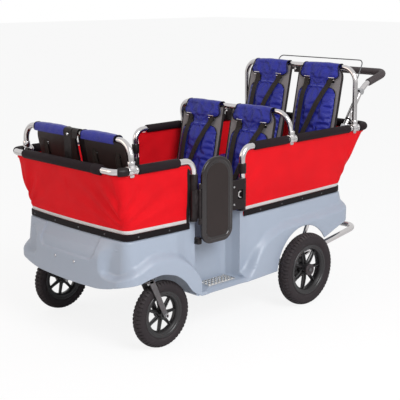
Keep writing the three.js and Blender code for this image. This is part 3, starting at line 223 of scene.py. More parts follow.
def clean(mesh, merge=1e-6):
    """Joins points that lie together and turns all faces outwards."""
    own = bmesh.new()
    own.from_mesh(mesh)
    if merge:
        bmesh.ops.remove_doubles(own, verts=own.verts, dist=merge)
    bmesh.ops.recalc_face_normals(own, faces=own.faces)
    own.to_mesh(mesh)
    own.free()


def joined(*shapes):
    points, faces = [], []
    for more, rows in shapes:
        start = len(points)
        points += [tuple(p) for p in more]
        faces += [tuple(i + start for i in row) for row in rows]
    return points, faces


def mirrored(shape):
    points, faces = shape
    return [(-p[0], p[1], p[2]) for p in points], [tuple(reversed(f)) for f in faces]


def moved(shape, matrix):
    points, faces = shape
    return [tuple(matrix @ Vector(p)) for p in points], faces


def grid(rows, loop_rows=False, loop_columns=False):
    """Faces over rows of points."""
    count, width = len(rows), len(rows[0])
    points = [tuple(p) for row in rows for p in row]
    faces = []
    for r in range(count if loop_rows else count - 1):
        for c in range(width if loop_columns else width - 1):
            a, b = r * width + c, r * width + (c + 1) % width
            up = ((r + 1) % count) * width
            faces.append((a, b, up + (c + 1) % width, up + c))
    return points, faces


def turns(sides):
    """Even angles round a full turn."""
    return np.linspace(0, tau, sides, endpoint=False)


def arc(u, v, radius, angles):
    """Points of a circle in two axes."""
    return [(u + radius * cos(a), v + radius * sin(a)) for a in angles]


def whole(near):
    """A run on one side, carried on by its mirror image from last point to first."""
    return near + [(-x, y, z) for x, y, z in reversed(near)]


def capped(rows):
    """A closed body from rings of points, with one face at each end."""
    points, faces = grid(rows, loop_columns=True)
    width = len(rows[0])
    faces.append(tuple(reversed(range(width))))
    faces.append(tuple(range(len(points) - width, len(points))))
    return points, faces


def route(corners, bends, step=radians(7)):
    """Points and headings along straight runs joined by round bends."""
    corners = [Vector(c) for c in corners]
    bends = list(bends) if isinstance(bends, (list, tuple)) else [bends] * (len(corners) - 2)
    places = [(corners[0], (corners[1] - corners[0]).normalized())]
    for i in range(1, len(corners) - 1):
        before = (corners[i] - corners[i - 1]).normalized()
        after = (corners[i + 1] - corners[i]).normalized()
        angle = before.angle(after)
        if angle < 1e-4:
            continue
        axis = before.cross(after).normalized()
        start = corners[i] - before * (bends[i - 1] * tan(angle / 2))
        centre = start + axis.cross(before) * bends[i - 1]
        count = max(2, round(angle / step))
        for k in range(count + 1):
            turn = Matrix.Rotation(angle * k / count, 3, axis)
            places.append((centre + turn @ (start - centre), turn @ before))
    places.append((corners[-1], (corners[-1] - corners[-2]).normalized()))
    kept = [places[0]]
    for place in places[1:]:
        if (place[0] - kept[-1][0]).length > 2e-4:
            kept.append(place)
    return kept


def frames(places):
    """Side vectors carried along a route without twist."""
    heading = places[0][1]
    side = heading.orthogonal().normalized()
    if abs(heading.x) < 0.9:
        side = (Vector((1, 0, 0)) - heading * heading.x).normalized()
    out = []
    for point, direction in places:
        side = (side - direction * side.dot(direction)).normalized()
        out.append((point, side, direction.cross(side)))
    return out


def tube(corners, radius, bends, sides, rounded=0.0):
    """A round tube, its ends rounded over where asked."""
    rows = []
    places = frames(route(corners, bends))
    last = len(places) - 1
    for i, (point, side, up) in enumerate(places):
        ring = lambda r, shift=Vector(): [point + shift + (side * cos(a) + up * sin(a)) * r
                                          for a in turns(sides)]
        heading = side.cross(up)
        if rounded and i == 0:
            rows += [ring(radius * 0.55), ring(radius - rounded * 0.3, heading * rounded * 0.3)]
            rows.append(ring(radius, heading * rounded))
        elif rounded and i == last:
            rows.append(ring(radius, heading * -rounded))
            rows += [ring(radius - rounded * 0.3, heading * -rounded * 0.3), ring(radius * 0.55)]
        else:
            rows.append(ring(radius))
    return capped(rows)


def turned(profile, place, sides, axis):
    """A body turned from (radius, distance) pairs about an axis through place."""
    rows = []
    for radius, along in profile:
        ring = []
        for u, v in arc(0, 0, radius, turns(sides)):
            ring.append({
                "x": (place[0] + along, place[1] + u, place[2] + v),
                "y": (place[0] + u, place[1] + along, place[2] + v),
                "z": (place[0] + u, place[1] + v, place[2] + along),
            }[axis])
        rows.append(ring)
    return rows


def ring_body(profile, place, sides, axis="x"):
    return grid(turned(profile, place, sides, axis), loop_rows=True, loop_columns=True)


def round_body(profile, place, sides, axis="x"):
    return capped(turned(profile, place, sides, axis))


def outline(low, high, radii, steps=8):
    """A rounded rectangle in two axes, anticlockwise from its low corner."""
    a, b, c, d = radii if isinstance(radii, (list, tuple)) else (radii,) * 4
    spots = [
        (low[0] + a, low[1] + a, a, pi), (high[0] - b, low[1] + b, b, 1.5 * pi),
        (high[0] - c, high[1] - c, c, 0), (low[0] + d, high[1] - d, d, 0.5 * pi),
    ]
    out = []
    for u, v, radius, start in spots:
        count = steps + 1 if radius > 1e-4 else 1
        out += arc(u, v, radius, np.linspace(start, start + pi / 2, count))
    return out


def slab(shape, low, high, axis):
    """An outline given a thickness along an axis. The outline's axes follow in X, Y, Z order."""
    def lift(u, v, w):
        return {"x": (w, u, v), "y": (u, w, v), "z": (u, v, w)}[axis]
    return capped([[lift(u, v, low) for u, v in shape], [lift(u, v, high) for u, v in shape]])


def block(low, high):
    return slab([(low[0], low[1]), (high[0], low[1]), (high[0], high[1]), (low[0], high[1])],
                low[2], high[2], "z")


def screw(place, normal, radius, height):
    """A pan head with a cross recess drawn as a dimple."""
    profile = [(0.0004, height * 0.45), (radius * 0.3, height * 0.55), (radius * 0.42, height),
               (radius * 0.8, height * 0.85), (radius, height * 0.25), (radius, 0), (0.0004, 0)]
    body = round_body(profile, (0, 0, 0), 16, "z")
    turn = Vector(normal).to_track_quat("Z", "Y").to_matrix().to_4x4()
    return moved(body, Matrix.Translation(place) @ turn)


# Finishes


def colours():
    return sizes("colours")


def node(tree, kind, inputs=None, **settings):
    made = tree.nodes.new(kind)
    for key, value in settings.items():
        setattr(made, key, value)
    for key, value in (inputs or {}).items():
        if isinstance(value, bpy.types.NodeSocket):
            tree.links.new(value, made.inputs[key])
        else:
            made.inputs[key].default_value = value
    return made


def math_node(tree, operation, *values):
    return node(tree, "ShaderNodeMath", dict(enumerate(values)), operation=operation).outputs[0]


def ranged(tree, value, low, high, to_low, to_high):
    names = ("Value", "From Min", "From Max", "To Min", "To Max")
    inputs = dict(zip(names, (value, low, high, to_low, to_high)))
    return node(tree, "ShaderNodeMapRange", inputs).outputs["Result"]


def speckle(tree, place, scale, detail, rough=0.5):
    return node(tree, "ShaderNodeTexNoise", {
        "Vector": place, "Scale": scale, "Detail": detail, "Roughness": rough,
    }).outputs["Fac"]


def shader_group(name, inputs, outputs):
    tree = bpy.data.node_groups.new(name, "ShaderNodeTree")
    for label, default in inputs:
        socket = tree.interface.new_socket(label, in_out="INPUT", socket_type="NodeSocketFloat")
        socket.default_value = default
    for label in outputs:
        tree.interface.new_socket(label, in_out="OUTPUT", socket_type="NodeSocketFloat")
    start, end = tree.nodes.new("NodeGroupInput"), tree.nodes.new("NodeGroupOutput")
    place = tree.nodes.new("ShaderNodeTexCoord").outputs["Object"]
    return tree, start.outputs, end.inputs, place


def grain_group():
    """Fine grain with slow changes of tone and gloss."""
    tree, given, out, place = shader_group(
        "Moulded grain", [("Scale", 900), ("Patches", 0.05)], ("Height", "Tone", "Gloss"))
    fine = speckle(tree, place, given["Scale"], 3)
    slow = speckle(tree, place, 7.0, 3, 0.6)
    spread = math_node(tree, "SUBTRACT", slow, 0.5)
    tree.links.new(fine, out["Height"])
    tone = math_node(tree, "MULTIPLY_ADD", spread, math_node(tree, "MULTIPLY", given["Patches"], 4.0), 1.0)
    tree.links.new(tone, out["Tone"])
    tree.links.new(math_node(tree, "MULTIPLY", speckle(tree, place, 38.0, 3), 0.12), out["Gloss"])
    return tree


def wear_group():
    """Rubbed edges: where the surface turns outwards, broken up by noise."""
    tree, given, out, place = shader_group("Edge wear", [("Amount", 0.3)], ("Mask",))
    turn = tree.nodes.new("ShaderNodeNewGeometry").outputs["Pointiness"]
    edge = ranged(tree, turn, 0.515, 0.6, 0.0, 1.0)
    broken = ranged(tree, speckle(tree, place, 60.0, 4, 0.65), 0.42, 0.66, 0.0, 1.0)
    mask = math_node(tree, "MULTIPLY", math_node(tree, "MULTIPLY", edge, broken), given["Amount"])
    tree.links.new(mask, out["Mask"])
    return tree


def weave_group():
    """Plain weave: threads across and along, with slubs, and painted shade in the hollows between the
    threads.
    """
    tree, given, out, place = shader_group("Plain weave", [("Pitch", 0.0011)], ("Height", "Tone"))
    split = node(tree, "ShaderNodeSeparateXYZ", {0: place}).outputs
    turn = math_node(tree, "DIVIDE", tau, given["Pitch"])
    level = math_node(tree, "ADD", split["X"], split["Y"])
    cross = math_node(tree, "SUBTRACT", split["Y"], split["Z"])
    waves = [math_node(tree, "SINE", math_node(tree, "MULTIPLY", way, turn)) for way in
             (level, math_node(tree, "ADD", split["Z"], cross))]
    threads = math_node(tree, "MULTIPLY", waves[0], math_node(
        tree, "SINE", math_node(tree, "MULTIPLY", split["Z"], turn)))
    crossed = math_node(tree, "MULTIPLY_ADD", waves[1], 0.3, threads)
    slub = speckle(tree, place, 160.0, 2)
    tree.links.new(math_node(tree, "MULTIPLY_ADD", slub, 0.5, crossed), out["Height"])
    slow = ranged(tree, speckle(tree, place, 9.0, 3), 0.3, 0.7, 0.93, 1.06)
    # Painted shade: the threads' crests are lighter and the hollows between them darker, following the
    # weave's height.
    painted_crest_shade = ranged(tree, crossed, -1.3, 1.3, 0.93, 1.05)
    tree.links.new(math_node(tree, "MULTIPLY", slow, painted_crest_shade), out["Tone"])
    return tree


def dust_group():
    """Dust on what faces up."""
    tree, given, out, place = shader_group("Light dust", [("Amount", 0.1)], ("Mask",))
    normal = tree.nodes.new("ShaderNodeNewGeometry").outputs["Normal"]
    up = ranged(tree, node(tree, "ShaderNodeSeparateXYZ", {0: normal}).outputs["Z"], 0.2, 1.0, 0.0, 1.0)
    patches = ranged(tree, speckle(tree, place, 14.0, 5, 0.7), 0.4, 0.75, 0.0, 1.0)
    tree.links.new(math_node(tree, "MULTIPLY", math_node(
        tree, "MULTIPLY", up, patches), given["Amount"]), out["Mask"])
    return tree


def finish(name, slot, colour, rough, metal=0.0, coat=0.0, scale=900.0, bump=0.00004, patches=0.03,
           pitch=0.0, worn=0.0, worn_colour=(0.6, 0.6, 0.6), dust=0.0, sheen=0.0, gloss=0.5):
    """A material from the shared groups, with its own values; its slot name is recorded."""
    SLOT_OF[name] = slot
    if name in bpy.data.materials:
        return bpy.data.materials[name]
    for label, maker in (("Moulded grain", grain_group), ("Edge wear", wear_group),
                         ("Plain weave", weave_group), ("Light dust", dust_group)):
        if label not in bpy.data.node_groups:
            maker()
    material = bpy.data.materials.new(name)
    material.use_nodes = True
    tree = material.node_tree
    shader = tree.nodes["Principled BSDF"]

    def shared(label, **values):
        made = tree.nodes.new("ShaderNodeGroup")
        made.node_tree = bpy.data.node_groups[label]
        for key, value in values.items():
            made.inputs[key].default_value = value
        return made.outputs

    def mixed(base, over, mask):
        blend = node(tree, "ShaderNodeMix", {0: mask}, data_type="RGBA")
        for key, value in ((6, base), (7, over)):
            if isinstance(value, bpy.types.NodeSocket):
                tree.links.new(value, blend.inputs[key])
            else:
                blend.inputs[key].default_value = (*value, 1)
        return blend.outputs[2]

    grain = shared("Moulded grain", Scale=scale, Patches=patches)
    tone, height = grain["Tone"], grain["Height"]
    if pitch:
        # The weave's tone holds painted shade in the hollows between its threads, with its slow random tone.
        weave = shared("Plain weave", Pitch=pitch)
        tone, height = math_node(tree, "MULTIPLY", tone, weave["Tone"]), weave["Height"]
    tinted = node(tree, "ShaderNodeVectorMath", {0: colour, 3: tone}, operation="SCALE").outputs[0]
    roughness = math_node(tree, "ADD", grain["Gloss"], rough - 0.06)
    if worn:
        mask = shared("Edge wear", Amount=worn)["Mask"]
        tinted = mixed(tinted, worn_colour, mask)
    if dust:
        mask = shared("Light dust", Amount=dust)["Mask"]
        tinted = mixed(tinted, (0.5, 0.48, 0.45), mask)
        roughness = math_node(tree, "MULTIPLY_ADD", mask, 0.5, roughness)
    tree.links.new(tinted, shader.inputs["Base Color"])
    tree.links.new(roughness, shader.inputs["Roughness"])
    relief = node(tree, "ShaderNodeBump", {"Height": height, "Distance": bump, "Strength": 1.0})
    tree.links.new(relief.outputs[0], shader.inputs["Normal"])
    for key, value in (("Metallic", metal), ("Coat Weight", coat), ("Coat Roughness", 0.25),
                       ("Specular IOR Level", gloss), ("Sheen Weight", sheen),
                       ("Sheen Roughness", 0.4)):
        shader.inputs[key].default_value = value
    return material


def tub_plastic():
    return finish("Tub plastic", "grey_shell", colours().tub, 0.42, scale=1300, bump=0.00005,
                  patches=0.02, coat=0.12, worn=0.25, worn_colour=(0.5, 0.57, 0.66), dust=0.06)


def red_canvas():
    return finish("Red canvas", "red_cloth", colours().red, 0.62, pitch=0.0012, bump=0.00018,
                  patches=0.03, gloss=0.1)


def blue_canvas():
    return finish("Blue padded cloth", "blue_cloth", colours().blue, 0.38, pitch=0.0009, bump=0.0001,
                  patches=0.05, coat=0.03, gloss=0.28)


def black_plastic():
    return finish("Black plastic", "black_plastic", colours().black, 0.36, scale=1600, bump=0.00004,
                  patches=0.06, worn=0.35, worn_colour=(0.09, 0.08, 0.08), dust=0.015, gloss=0.16)


def board_plastic():
    return finish("Seat board plastic", "seat_board", (0.034, 0.024, 0.023), 0.42, scale=1000,
                  bump=0.00006, patches=0.06, worn=0.3, worn_colour=(0.16, 0.15, 0.15), dust=0.03,
                  gloss=0.3)


def black_foam():
    return finish("Black foam", "black_foam", colours().foam, 0.64, scale=700, bump=0.00012,
                  patches=0.08, dust=0.015, gloss=0.09)


def tyre_rubber():
    return finish("Tyre rubber", "tyre_rubber", colours().rubber, 0.66, scale=500, bump=0.00012,
                  patches=0.1, dust=0.1, gloss=0.3)


def bright_tube():
    return finish("Polished tube", "chromed_tube", colours().metal, 0.17, metal=1.0, scale=220,
                  bump=0.000012, patches=0.04)


def plated_steel():
    return finish("Plated steel", "zinc_steel", colours().zinc, 0.34, metal=1.0, scale=600,
                  bump=0.00003, patches=0.12, worn=0.2, worn_colour=(0.3, 0.28, 0.26))


def dark_wire():
    return finish("Dark wire", "dark_wire", (0.1, 0.1, 0.105), 0.35, metal=0.6, scale=900, bump=0.00002)


def webbing():
    return finish("Belt webbing", "black_plastic", colours().belt, 0.6, pitch=0.0016, bump=0.0003,
                  patches=0.1, sheen=0.04, gloss=0.2)


def silver_band():
    return finish("Reflective band", "red_cloth", (0.62, 0.6, 0.6), 0.38, metal=0.35, pitch=0.0015,
                  bump=0.0001)


def binding_tape():
    return finish("Binding tape", "red_cloth", (0.012, 0.009, 0.01), 0.6, pitch=0.0013, bump=0.0002,
                  patches=0.08, gloss=0.15)


def strip_rubber():
    return finish("Strip rubber", "black_plastic", (0.007, 0.005, 0.006), 0.5, scale=1500, bump=0.00003,
                  patches=0.05, gloss=0.1)


def cable_sheath():
    return finish("Cable sheath", "cable_sheath", (0.012, 0.012, 0.012), 0.4, scale=800, bump=0.00002)


# The tub's form

BODY = (-0.93, 0.35)
FRONT_RIM = {"door": -0.623, "door_x": 0.317, "side_x": 0.305, "face": -0.93, "corner": 0.03}
REAR_RIM = {"door": -0.352, "door_x": 0.317, "side_x": 0.28, "face": 0.35, "corner": 0.06}
CROWN = 0.012
RIM_BAND = 0.024
LOWER_EDGE = (
    (-0.04, 0.6), (0, 0.598), (0.046, 0.624), (0.096, 0.642), (0.142, 0.616), (0.181, 0.55),
    (0.215, 0.437), (0.238, 0.392), (0.256, 0.373), (0.6, 0.38), (0.66, 0.4), (0.8, 0.52),
    (0.86, 0.559), (0.925, 0.616), (0.965, 0.65), (1, 0.672),
)
FACE_EDGE = ((0, 0.524), (0.55, 0.53), (0.85, 0.56), (1, 0.6))
RIDGE = (
    (-0.04, 0.69), (0, 0.7), (0.041, 0.742), (0.066, 0.774), (0.092, 0.785), (0.117, 0.786),
    (0.156, 0.764), (0.196, 0.716), (0.223, 0.655), (0.245, 0.579), (0.262, 0.48), (0.28, 0.4),
    (0.43, 0.4), (0.455, 0.42), (0.475, 0.452), (0.498, 0.558), (0.521, 0.64), (0.557, 0.716),
    (0.593, 0.757), (0.655, 0.787), (0.853, 0.793), (0.959, 0.81), (1, 0.83),
)
FACE_RIDGE = ((0.67, 0.68), (0.72, 0.66), (0.87, 0.646), (1, 0.66))
# The ledge and the lean under the rim fade out beside the doors
LEAN = ((0.17, 1), (0.225, 0), (0.47, 0), (0.52, 1))
# The recess beside a door: distance along the tub and how far in its wall lies
RECESS = (
    (-0.608, 0.372), (-0.605, 0.33), (-0.602, 0.31), (-0.592, 0.281), (-0.578, 0.2575),
    (-0.56, 0.2515), (-0.548, 0.251), (-0.41, 0.251), (-0.398, 0.2515), (-0.38, 0.2575),
    (-0.366, 0.281), (-0.356, 0.31), (-0.353, 0.33), (-0.35, 0.372),
)
SILL = (-0.582, -0.572, -0.386, -0.376)
PANEL = {"half": 0.17, "low": 0.346, "corner": 0.034, "depth": 0.0066}
ARCH = (0.018, 0.156)


def step(value, low, high):
    share = min(1.0, max(0.0, (value - low) / (high - low)))
    return share * share * (3 - 2 * share)


def mix(a, b, share):
    return a + (b - a) * share


def through(table, place):
    """A smooth curve through pairs, which never overshoots them."""
    if place <= table[0][0]:
        return table[0][1]
    if place >= table[-1][0]:
        return table[-1][1]
    i = next(k for k in range(1, len(table)) if place <= table[k][0])
    rise = lambda k: (table[k][1] - table[k - 1][1]) / (table[k][0] - table[k - 1][0])

    def slope(k):
        if k == 0 or k == len(table) - 1:
            return rise(max(1, k))
        a, b = rise(k), rise(k + 1)
        return 0.0 if a * b <= 0 else 2 * a * b / (a + b)

    (x0, y0), (x1, y1) = table[i - 1], table[i]
    width = x1 - x0
    t = (place - x0) / width
    return (
        (2 * t**3 - 3 * t**2 + 1) * y0 + (t**3 - 2 * t**2 + t) * width * slope(i - 1)
        + (3 * t**2 - 2 * t**3) * y1 + (t**3 - t**2) * width * slope(i)
    )


def even(count):
    """Even steps from the end of a face to its middle, as shares of half its width."""
    return [1 - k / count for k in range(1, count + 1)]


def plan(end, shares, corner, face, crown=CROWN):
    """A U in plan from one side round an end to the other: x, y and the outward normal."""
    facing = copysign(1, end["face"] - end["door"])
    corner_y = end["face"] - facing * end["corner"]
    near = [(mix(end["door_x"], end["side_x"], s), mix(end["door"], corner_y, s), 1, 0)
            for s in shares]
    for k in range(corner + 1):
        turn = pi / 2 * k / corner
        across, on = cos(turn), sin(turn) * facing
        near.append((end["side_x"] - end["corner"] + end["corner"] * across,
                     corner_y + end["corner"] * on, across, on))
    half = end["side_x"] - end["corner"]
    for share in face:
        x = half * share
        near.append((x, end["face"] + facing * crown * (1 - (x / half) ** 2), 0, facing))
    return near + [(-x, y, -nx, ny) for x, y, nx, ny in reversed(near[:-1])]


def smooth(table, place):
    """The mean of a curve round a place, which takes out its kinks."""
    return sum(through(table, place + 0.004 * k) for k in range(-3, 4)) / 7


def body_share(y):
    return (y - BODY[0]) / (BODY[1] - BODY[0])


def low_edge(x, y, ny):
    tub = sizes("tub")
    edge = through(LOWER_EDGE, body_share(y)) * tub.rim
    if ny < 0:
        face = through(FACE_EDGE, abs(x) / FRONT_RIM["side_x"]) * tub.rim
        edge = mix(edge, face, ny * ny)
    reach = tub.arch**2 - (y - ARCH[0]) ** 2
    return max(edge, ARCH[1] + sqrt(reach)) if reach > 0 else edge


def skirt(x, y, ny, z):
    """How far the skirt stands out from the rim at a height: a ledge, a lean, then the shoulder."""
    tub = sizes("tub")
    band = tub.rim - RIM_BAND
    spread = through(LEAN, body_share(y))
    facing = ny * ny if ny < 0 else 0.0

    def reach(middle, soft):
        ledge = tub.ledge * spread * step(band - z, 0, tub.ledge_drop)
        lean = tub.lean * spread * min(1.0, max(0.0, (band - z) / (band - middle)))
        rest = tub.flare - (tub.ledge + tub.lean) * spread
        return ledge + lean + rest * step(-z, -middle - soft, -middle + soft)

    side = smooth(RIDGE, body_share(y)) * tub.rim
    face = through(FACE_RIDGE, abs(x) / FRONT_RIM["side_x"]) * tub.rim
    plain = reach(mix(side, face, facing), mix(tub.softness, tub.face_softness, facing))
    over = abs(x) - tub.swell_half
    wide = 0.026 + 0.044 * step(z, tub.swell_foot - 0.015, band)
    if facing < 0.999 or over > wide:
        return plain
    swell = reach((band + tub.swell_foot) / 2, (band - tub.swell_foot) / 2)
    return mix(swell, plain, step(over, -0.012, wide))


def panel_depth(x, z):
    """The shallow panel in the front face: a U that runs out under the trim strip."""
    tub = sizes("tub")
    half, low, corner, depth = (PANEL[key] for key in ("half", "low", "corner", "depth"))
    top = tub.rim - RIM_BAND - tub.ledge_drop / 2
    away = hypot(max(abs(x) - (half - corner), 0), max(low + corner - z, 0))
    return depth * (1 - step(away, corner - 0.004, corner + 0.003)) * (1 - step(z, top - 0.002, top))


def tub_point(station, share, inset=0.0):
    """A point of the wall: share 0 is the rim band, 1 the lower edge."""
    tub = sizes("tub")
    x, y, nx, ny = station
    edge = low_edge(x, y, ny)
    band = tub.rim - RIM_BAND
    z = mix(band, edge, share)
    near_door = step(y, -0.66, -0.615) * (1 - step(y, -0.343, -0.3)) * abs(nx)
    drop = 0.0
    if near_door:
        ledge = tub.step - inset
        heights = (band, ledge + 0.008, ledge + 0.0012, ledge, ledge - 0.0002, ledge - 0.001,
                   ledge - 0.003, edge)
        z = mix(z, np.interp(share, (0, 0.925, 0.935, 0.94, 0.95, 0.955, 0.96, 1), heights), near_door)
    reach = skirt(x, y, ny, z) - inset
    inward = panel_depth(x, z) if ny < -0.99 else 0
    px, py = x + nx * (reach - inward), y + ny * (reach - inward)
    if near_door:
        recess = np.interp(y, *zip(*RECESS)) - inset
        round_in = float(np.interp(share, (0.925, 0.935, 0.94), (0, 0.001, 0.004)))
        round_out = float(np.interp(share, (0.95, 0.955, 0.96), (0.004, 0.001, 0)))
        if share < 0.945:
            soft = 0.004
            gap = max(soft - abs(abs(px) - recess), 0) / soft
            px = copysign(min(abs(px), recess + round_in) - gap * gap * soft * 0.25, px)
        else:
            px = copysign(abs(px) - round_out * (1 if recess < 0.3 else 0), px)
        open_share = step(y, SILL[0], SILL[1]) * (1 - step(y, SILL[2], SILL[3]))
        if z > 0.2 and open_share:
            lowered = 0.2 + (z - 0.2) * (tub.sill - 0.2) / (tub.rim - 0.2)
            z = mix(z, lowered, open_share)
            drop = open_share
    return px, py, z, drop


def tub_stations():
    half = FRONT_RIM["side_x"] - FRONT_RIM["corner"]
    groove = sizes("tub").swell_half
    xs = [*np.linspace(half, groove + 0.012, 8)[1:], *np.linspace(groove + 0.01, groove - 0.014, 13),
          *np.linspace(groove - 0.018, PANEL["half"] + 0.008, 4),
          *np.linspace(PANEL["half"] + 0.005, PANEL["half"] - 0.008, 7), *np.linspace(0.155, 0, 20)]
    front = plan(FRONT_RIM, np.linspace(0, 1, 36)[:-1], 12, [x / half for x in xs])
    tail = (-0.352, 0.29)
    ys = [-0.352, -0.349, -0.345, -0.338, *np.arange(-0.33, -0.166, 0.009),
          *np.arange(-0.166, -0.128, 0.0035), *np.arange(-0.127, 0.289, 0.008)]
    shares = [(y - tail[0]) / (tail[1] - tail[0]) for y in ys]
    rear = plan(REAR_RIM, shares, 14, even(24))
    door = [*np.arange(-0.6205, -0.611, 0.003), *np.arange(-0.611, -0.566, 0.0022),
            *np.arange(-0.565, -0.392, 0.01), *np.arange(-0.392, -0.3535, 0.0022)]
    away = [(-0.317, y, -1, 0) for y in door]
    back = [(0.317, y, 1, 0) for y in reversed(door)]
    return front + away + list(reversed(rear)) + back


def tub_wall():
    tub = sizes("tub")
    stations = tub_stations()
    shares = [*np.linspace(0.012, 0.9, 56), 0.925, 0.935, 0.94, 0.95, 0.955, 0.96, 0.97, 0.98]
    wall = tub.wall

    def top(height, inset):
        ring = [tub_point(s, 0.0, inset) for s in stations]
        return [(x, y, mix(tub.rim, tub.sill, drop) - height) for x, y, _, drop in ring]

    def low(rise, inset):
        ring = [tub_point(s, 1.0, inset) for s in stations]
        return [(x, y, z + rise) for x, y, z, _ in ring]

    outer = [top(0.0004, wall * 0.7), top(0.0, wall * 0.45), top(0.0009, 0.0009),
             top(0.003, 0.0), top(0.012, 0.0)]
    outer += [[tub_point(s, share)[:3] for s in stations] for share in [0.0, *shares]]
    outer += [low(0.0022, 0), low(0.0007, 0.0007), low(0, 0.002)]
    inner = [low(0.0, wall - 0.002), low(0.0007, wall - 0.0007), low(0.0022, wall)]
    inner += [[tub_point(s, share, wall)[:3] for s in stations]
              for share in reversed([0.0, *shares[::2], 0.94, 0.95])]
    inner += [top(0.012, wall), top(0.0025, wall)]
    return grid(outer + inner, loop_rows=True, loop_columns=True)


def inner_half(y, z):
    """Half the width between the walls at a place."""
    wall = sizes("tub").wall * 0.6
    spots = sorted((s[1], s[0]) for s in tub_stations() if s[0] > 0 and abs(s[3]) < 0.9999)
    half = float(np.interp(y, *zip(*spots)))
    return min(half + skirt(half, y, 0, z), float(np.interp(y, *zip(*RECESS)))) - wall


def tub_pan():
    """Benches, footwell and footboard in one stepped sheet, with rounded steps."""
    tub = sizes("tub")
    corners = [(-0.945, tub.bench), (-0.64, tub.bench), (-0.634, tub.floor), (-0.391, tub.floor),
               (-0.385, tub.bench), (-0.085, tub.bench), (-0.081, tub.footboard), (0.362, tub.footboard)]
    rows = []
    places = route([(0, y, z) for y, z in corners], 0.014, radians(18))
    fine = [places[0]]
    for place in places[1:]:
        count = max(1, int((place[0] - fine[-1][0]).length / 0.02))
        start = fine[-1][0]
        fine += [(start.lerp(place[0], k / count), place[1]) for k in range(1, count + 1)]
    for point, heading in fine:
        y, z = point.y, point.z
        below = (y + heading.z * (tub.wall - 0.001), z - heading.y * (tub.wall - 0.001))
        half = inner_half(y, z)
        side = max(0.0, (abs(y + 0.29) - 0.594) / 0.06)
        half -= 0.02 * side * side if y < 0 else 0
        rows.append([(-half, y, z), (half, y, z), (half, *below), (-half, *below)])
    return capped(rows)


def rear_bench():
    tub = sizes("tub")
    low, high = tub.footboard - 0.003, tub.rear_bench
    ring = lambda inset, z, y0=0.06, y1=0.318: [
        (x, y, z) for x, y in outline((-0.262 + inset, y0 + inset), (0.262 - inset, y1 - inset),
                                      max(0.003, 0.028 - inset), 7)]
    rows = [ring(0.006, high - 0.006), ring(0.006, low), ring(0, low), ring(0, high - 0.012)]
    for turn in (22, 45, 68, 90):
        a = radians(turn)
        rows.append(ring(0.012 * (1 - cos(a)), high - 0.012 * (1 - sin(a))))
    return capped(rows)


class TubOperator(bpy.types.Operator):
    """Builds the moulded tub with its recesses, benches and footwell"""

    bl_idname = "stroller.tub"
    bl_label = "Moulded tub"

    def execute(self, context):
        grey = tub_plastic()
        put("moulded_tub", tub_wall(), grey, ["tub_shell"], sharp=50)
        put("tub_pan", tub_pan(), grey, sharp=40)
        put("rear_bench", rear_bench(), grey, sharp=40)
        x, z, gap = 0.059, 0.322, 0.004
        half = FRONT_RIM["side_x"] - FRONT_RIM["corner"]
        low, level, high = (skirt(x, FRONT_RIM["face"], -1, z + rise) for rise in (-gap, 0, gap))
        y = FRONT_RIM["face"] - CROWN * (1 - (x / half) ** 2) - level
        head = screw((x, y, z), (0, -1, (low - high) / (2 * gap)), 0.0055, 0.003)
        both("bumper_screw", head, plated_steel())
        return {"FINISHED"}


# Rails, pads and cloth

FRONT_RAIL = {"z": 0.697, "rise": 0.0, "y": -0.988, "x": 0.327, "corner": 0.042, "post": -0.62}
REAR_RAIL = {"z": 0.715, "rise": 0.008, "y": 0.462, "x": 0.326, "corner": 0.046, "post": -0.355}
POST_BEND = 0.045
POST_FOOT = 0.4626
HOOPS = {
    "front": {"x": 0.327, "y": -0.922, "z": 0.697, "top_y": -0.922, "top_z": 0.8},
    "middle": {"x": 0.326, "y": -0.062, "z": 0.7179, "top_y": -0.083, "top_z": 0.828},
    "rear": {"x": 0.326, "y": 0.363, "z": 0.722, "top_y": 0.359, "top_z": 0.985},
}


def rail_z(rail, y):
    return rail["z"] + rail["rise"] * (y - rail["post"]) / (rail["y"] - rail["post"])


def rail_route(rail):
    x, post, end = rail["x"], rail["post"], rail["y"]
    return whole([(x, post, POST_FOOT), (x, post, rail["z"]), (x, end, rail_z(rail, end))])


def post_foot(rail):
    """The axis of a rail's post, for what is turned round it."""
    return (rail["x"], rail["post"], 0)


def foam_tube(corners, radius, bends):
    return tube(corners, radius, bends, 36, 0.004)


def collar(place, radius, low, high, axis, edge):
    """A short round fitting with rounded rims, from low to high along an axis."""
    profile = [(radius - edge * 2.2, low), (radius - edge, low), (radius - edge * 0.3, low + edge * 0.3),
               (radius, low + edge), (radius, high - edge), (radius - edge * 0.3, high - edge * 0.3),
               (radius - edge, high), (radius - edge * 2.2, high)]
    spot = {"x": (0, place[1], place[2]), "y": (place[0], 0, place[2]), "z": (place[0], place[1], 0)}
    return round_body(profile, spot[axis], 36, axis)


class RailsOperator(bpy.types.Operator):
    """Builds the two polished side rails that stand on the tub's rim"""

    bl_idname = "stroller.rails"
    bl_label = "Side rails"

    def execute(self, context):
        radius = sizes("tubes").rail
        for name, rail in (("front", FRONT_RAIL), ("rear", REAR_RAIL)):
            bends = (POST_BEND, rail["corner"], rail["corner"], POST_BEND)
            put(f"{name}_side_rail", tube(rail_route(rail), radius, bends, 32), bright_tube(),
                [f"{name}_rail"])
        return {"FINISHED"}


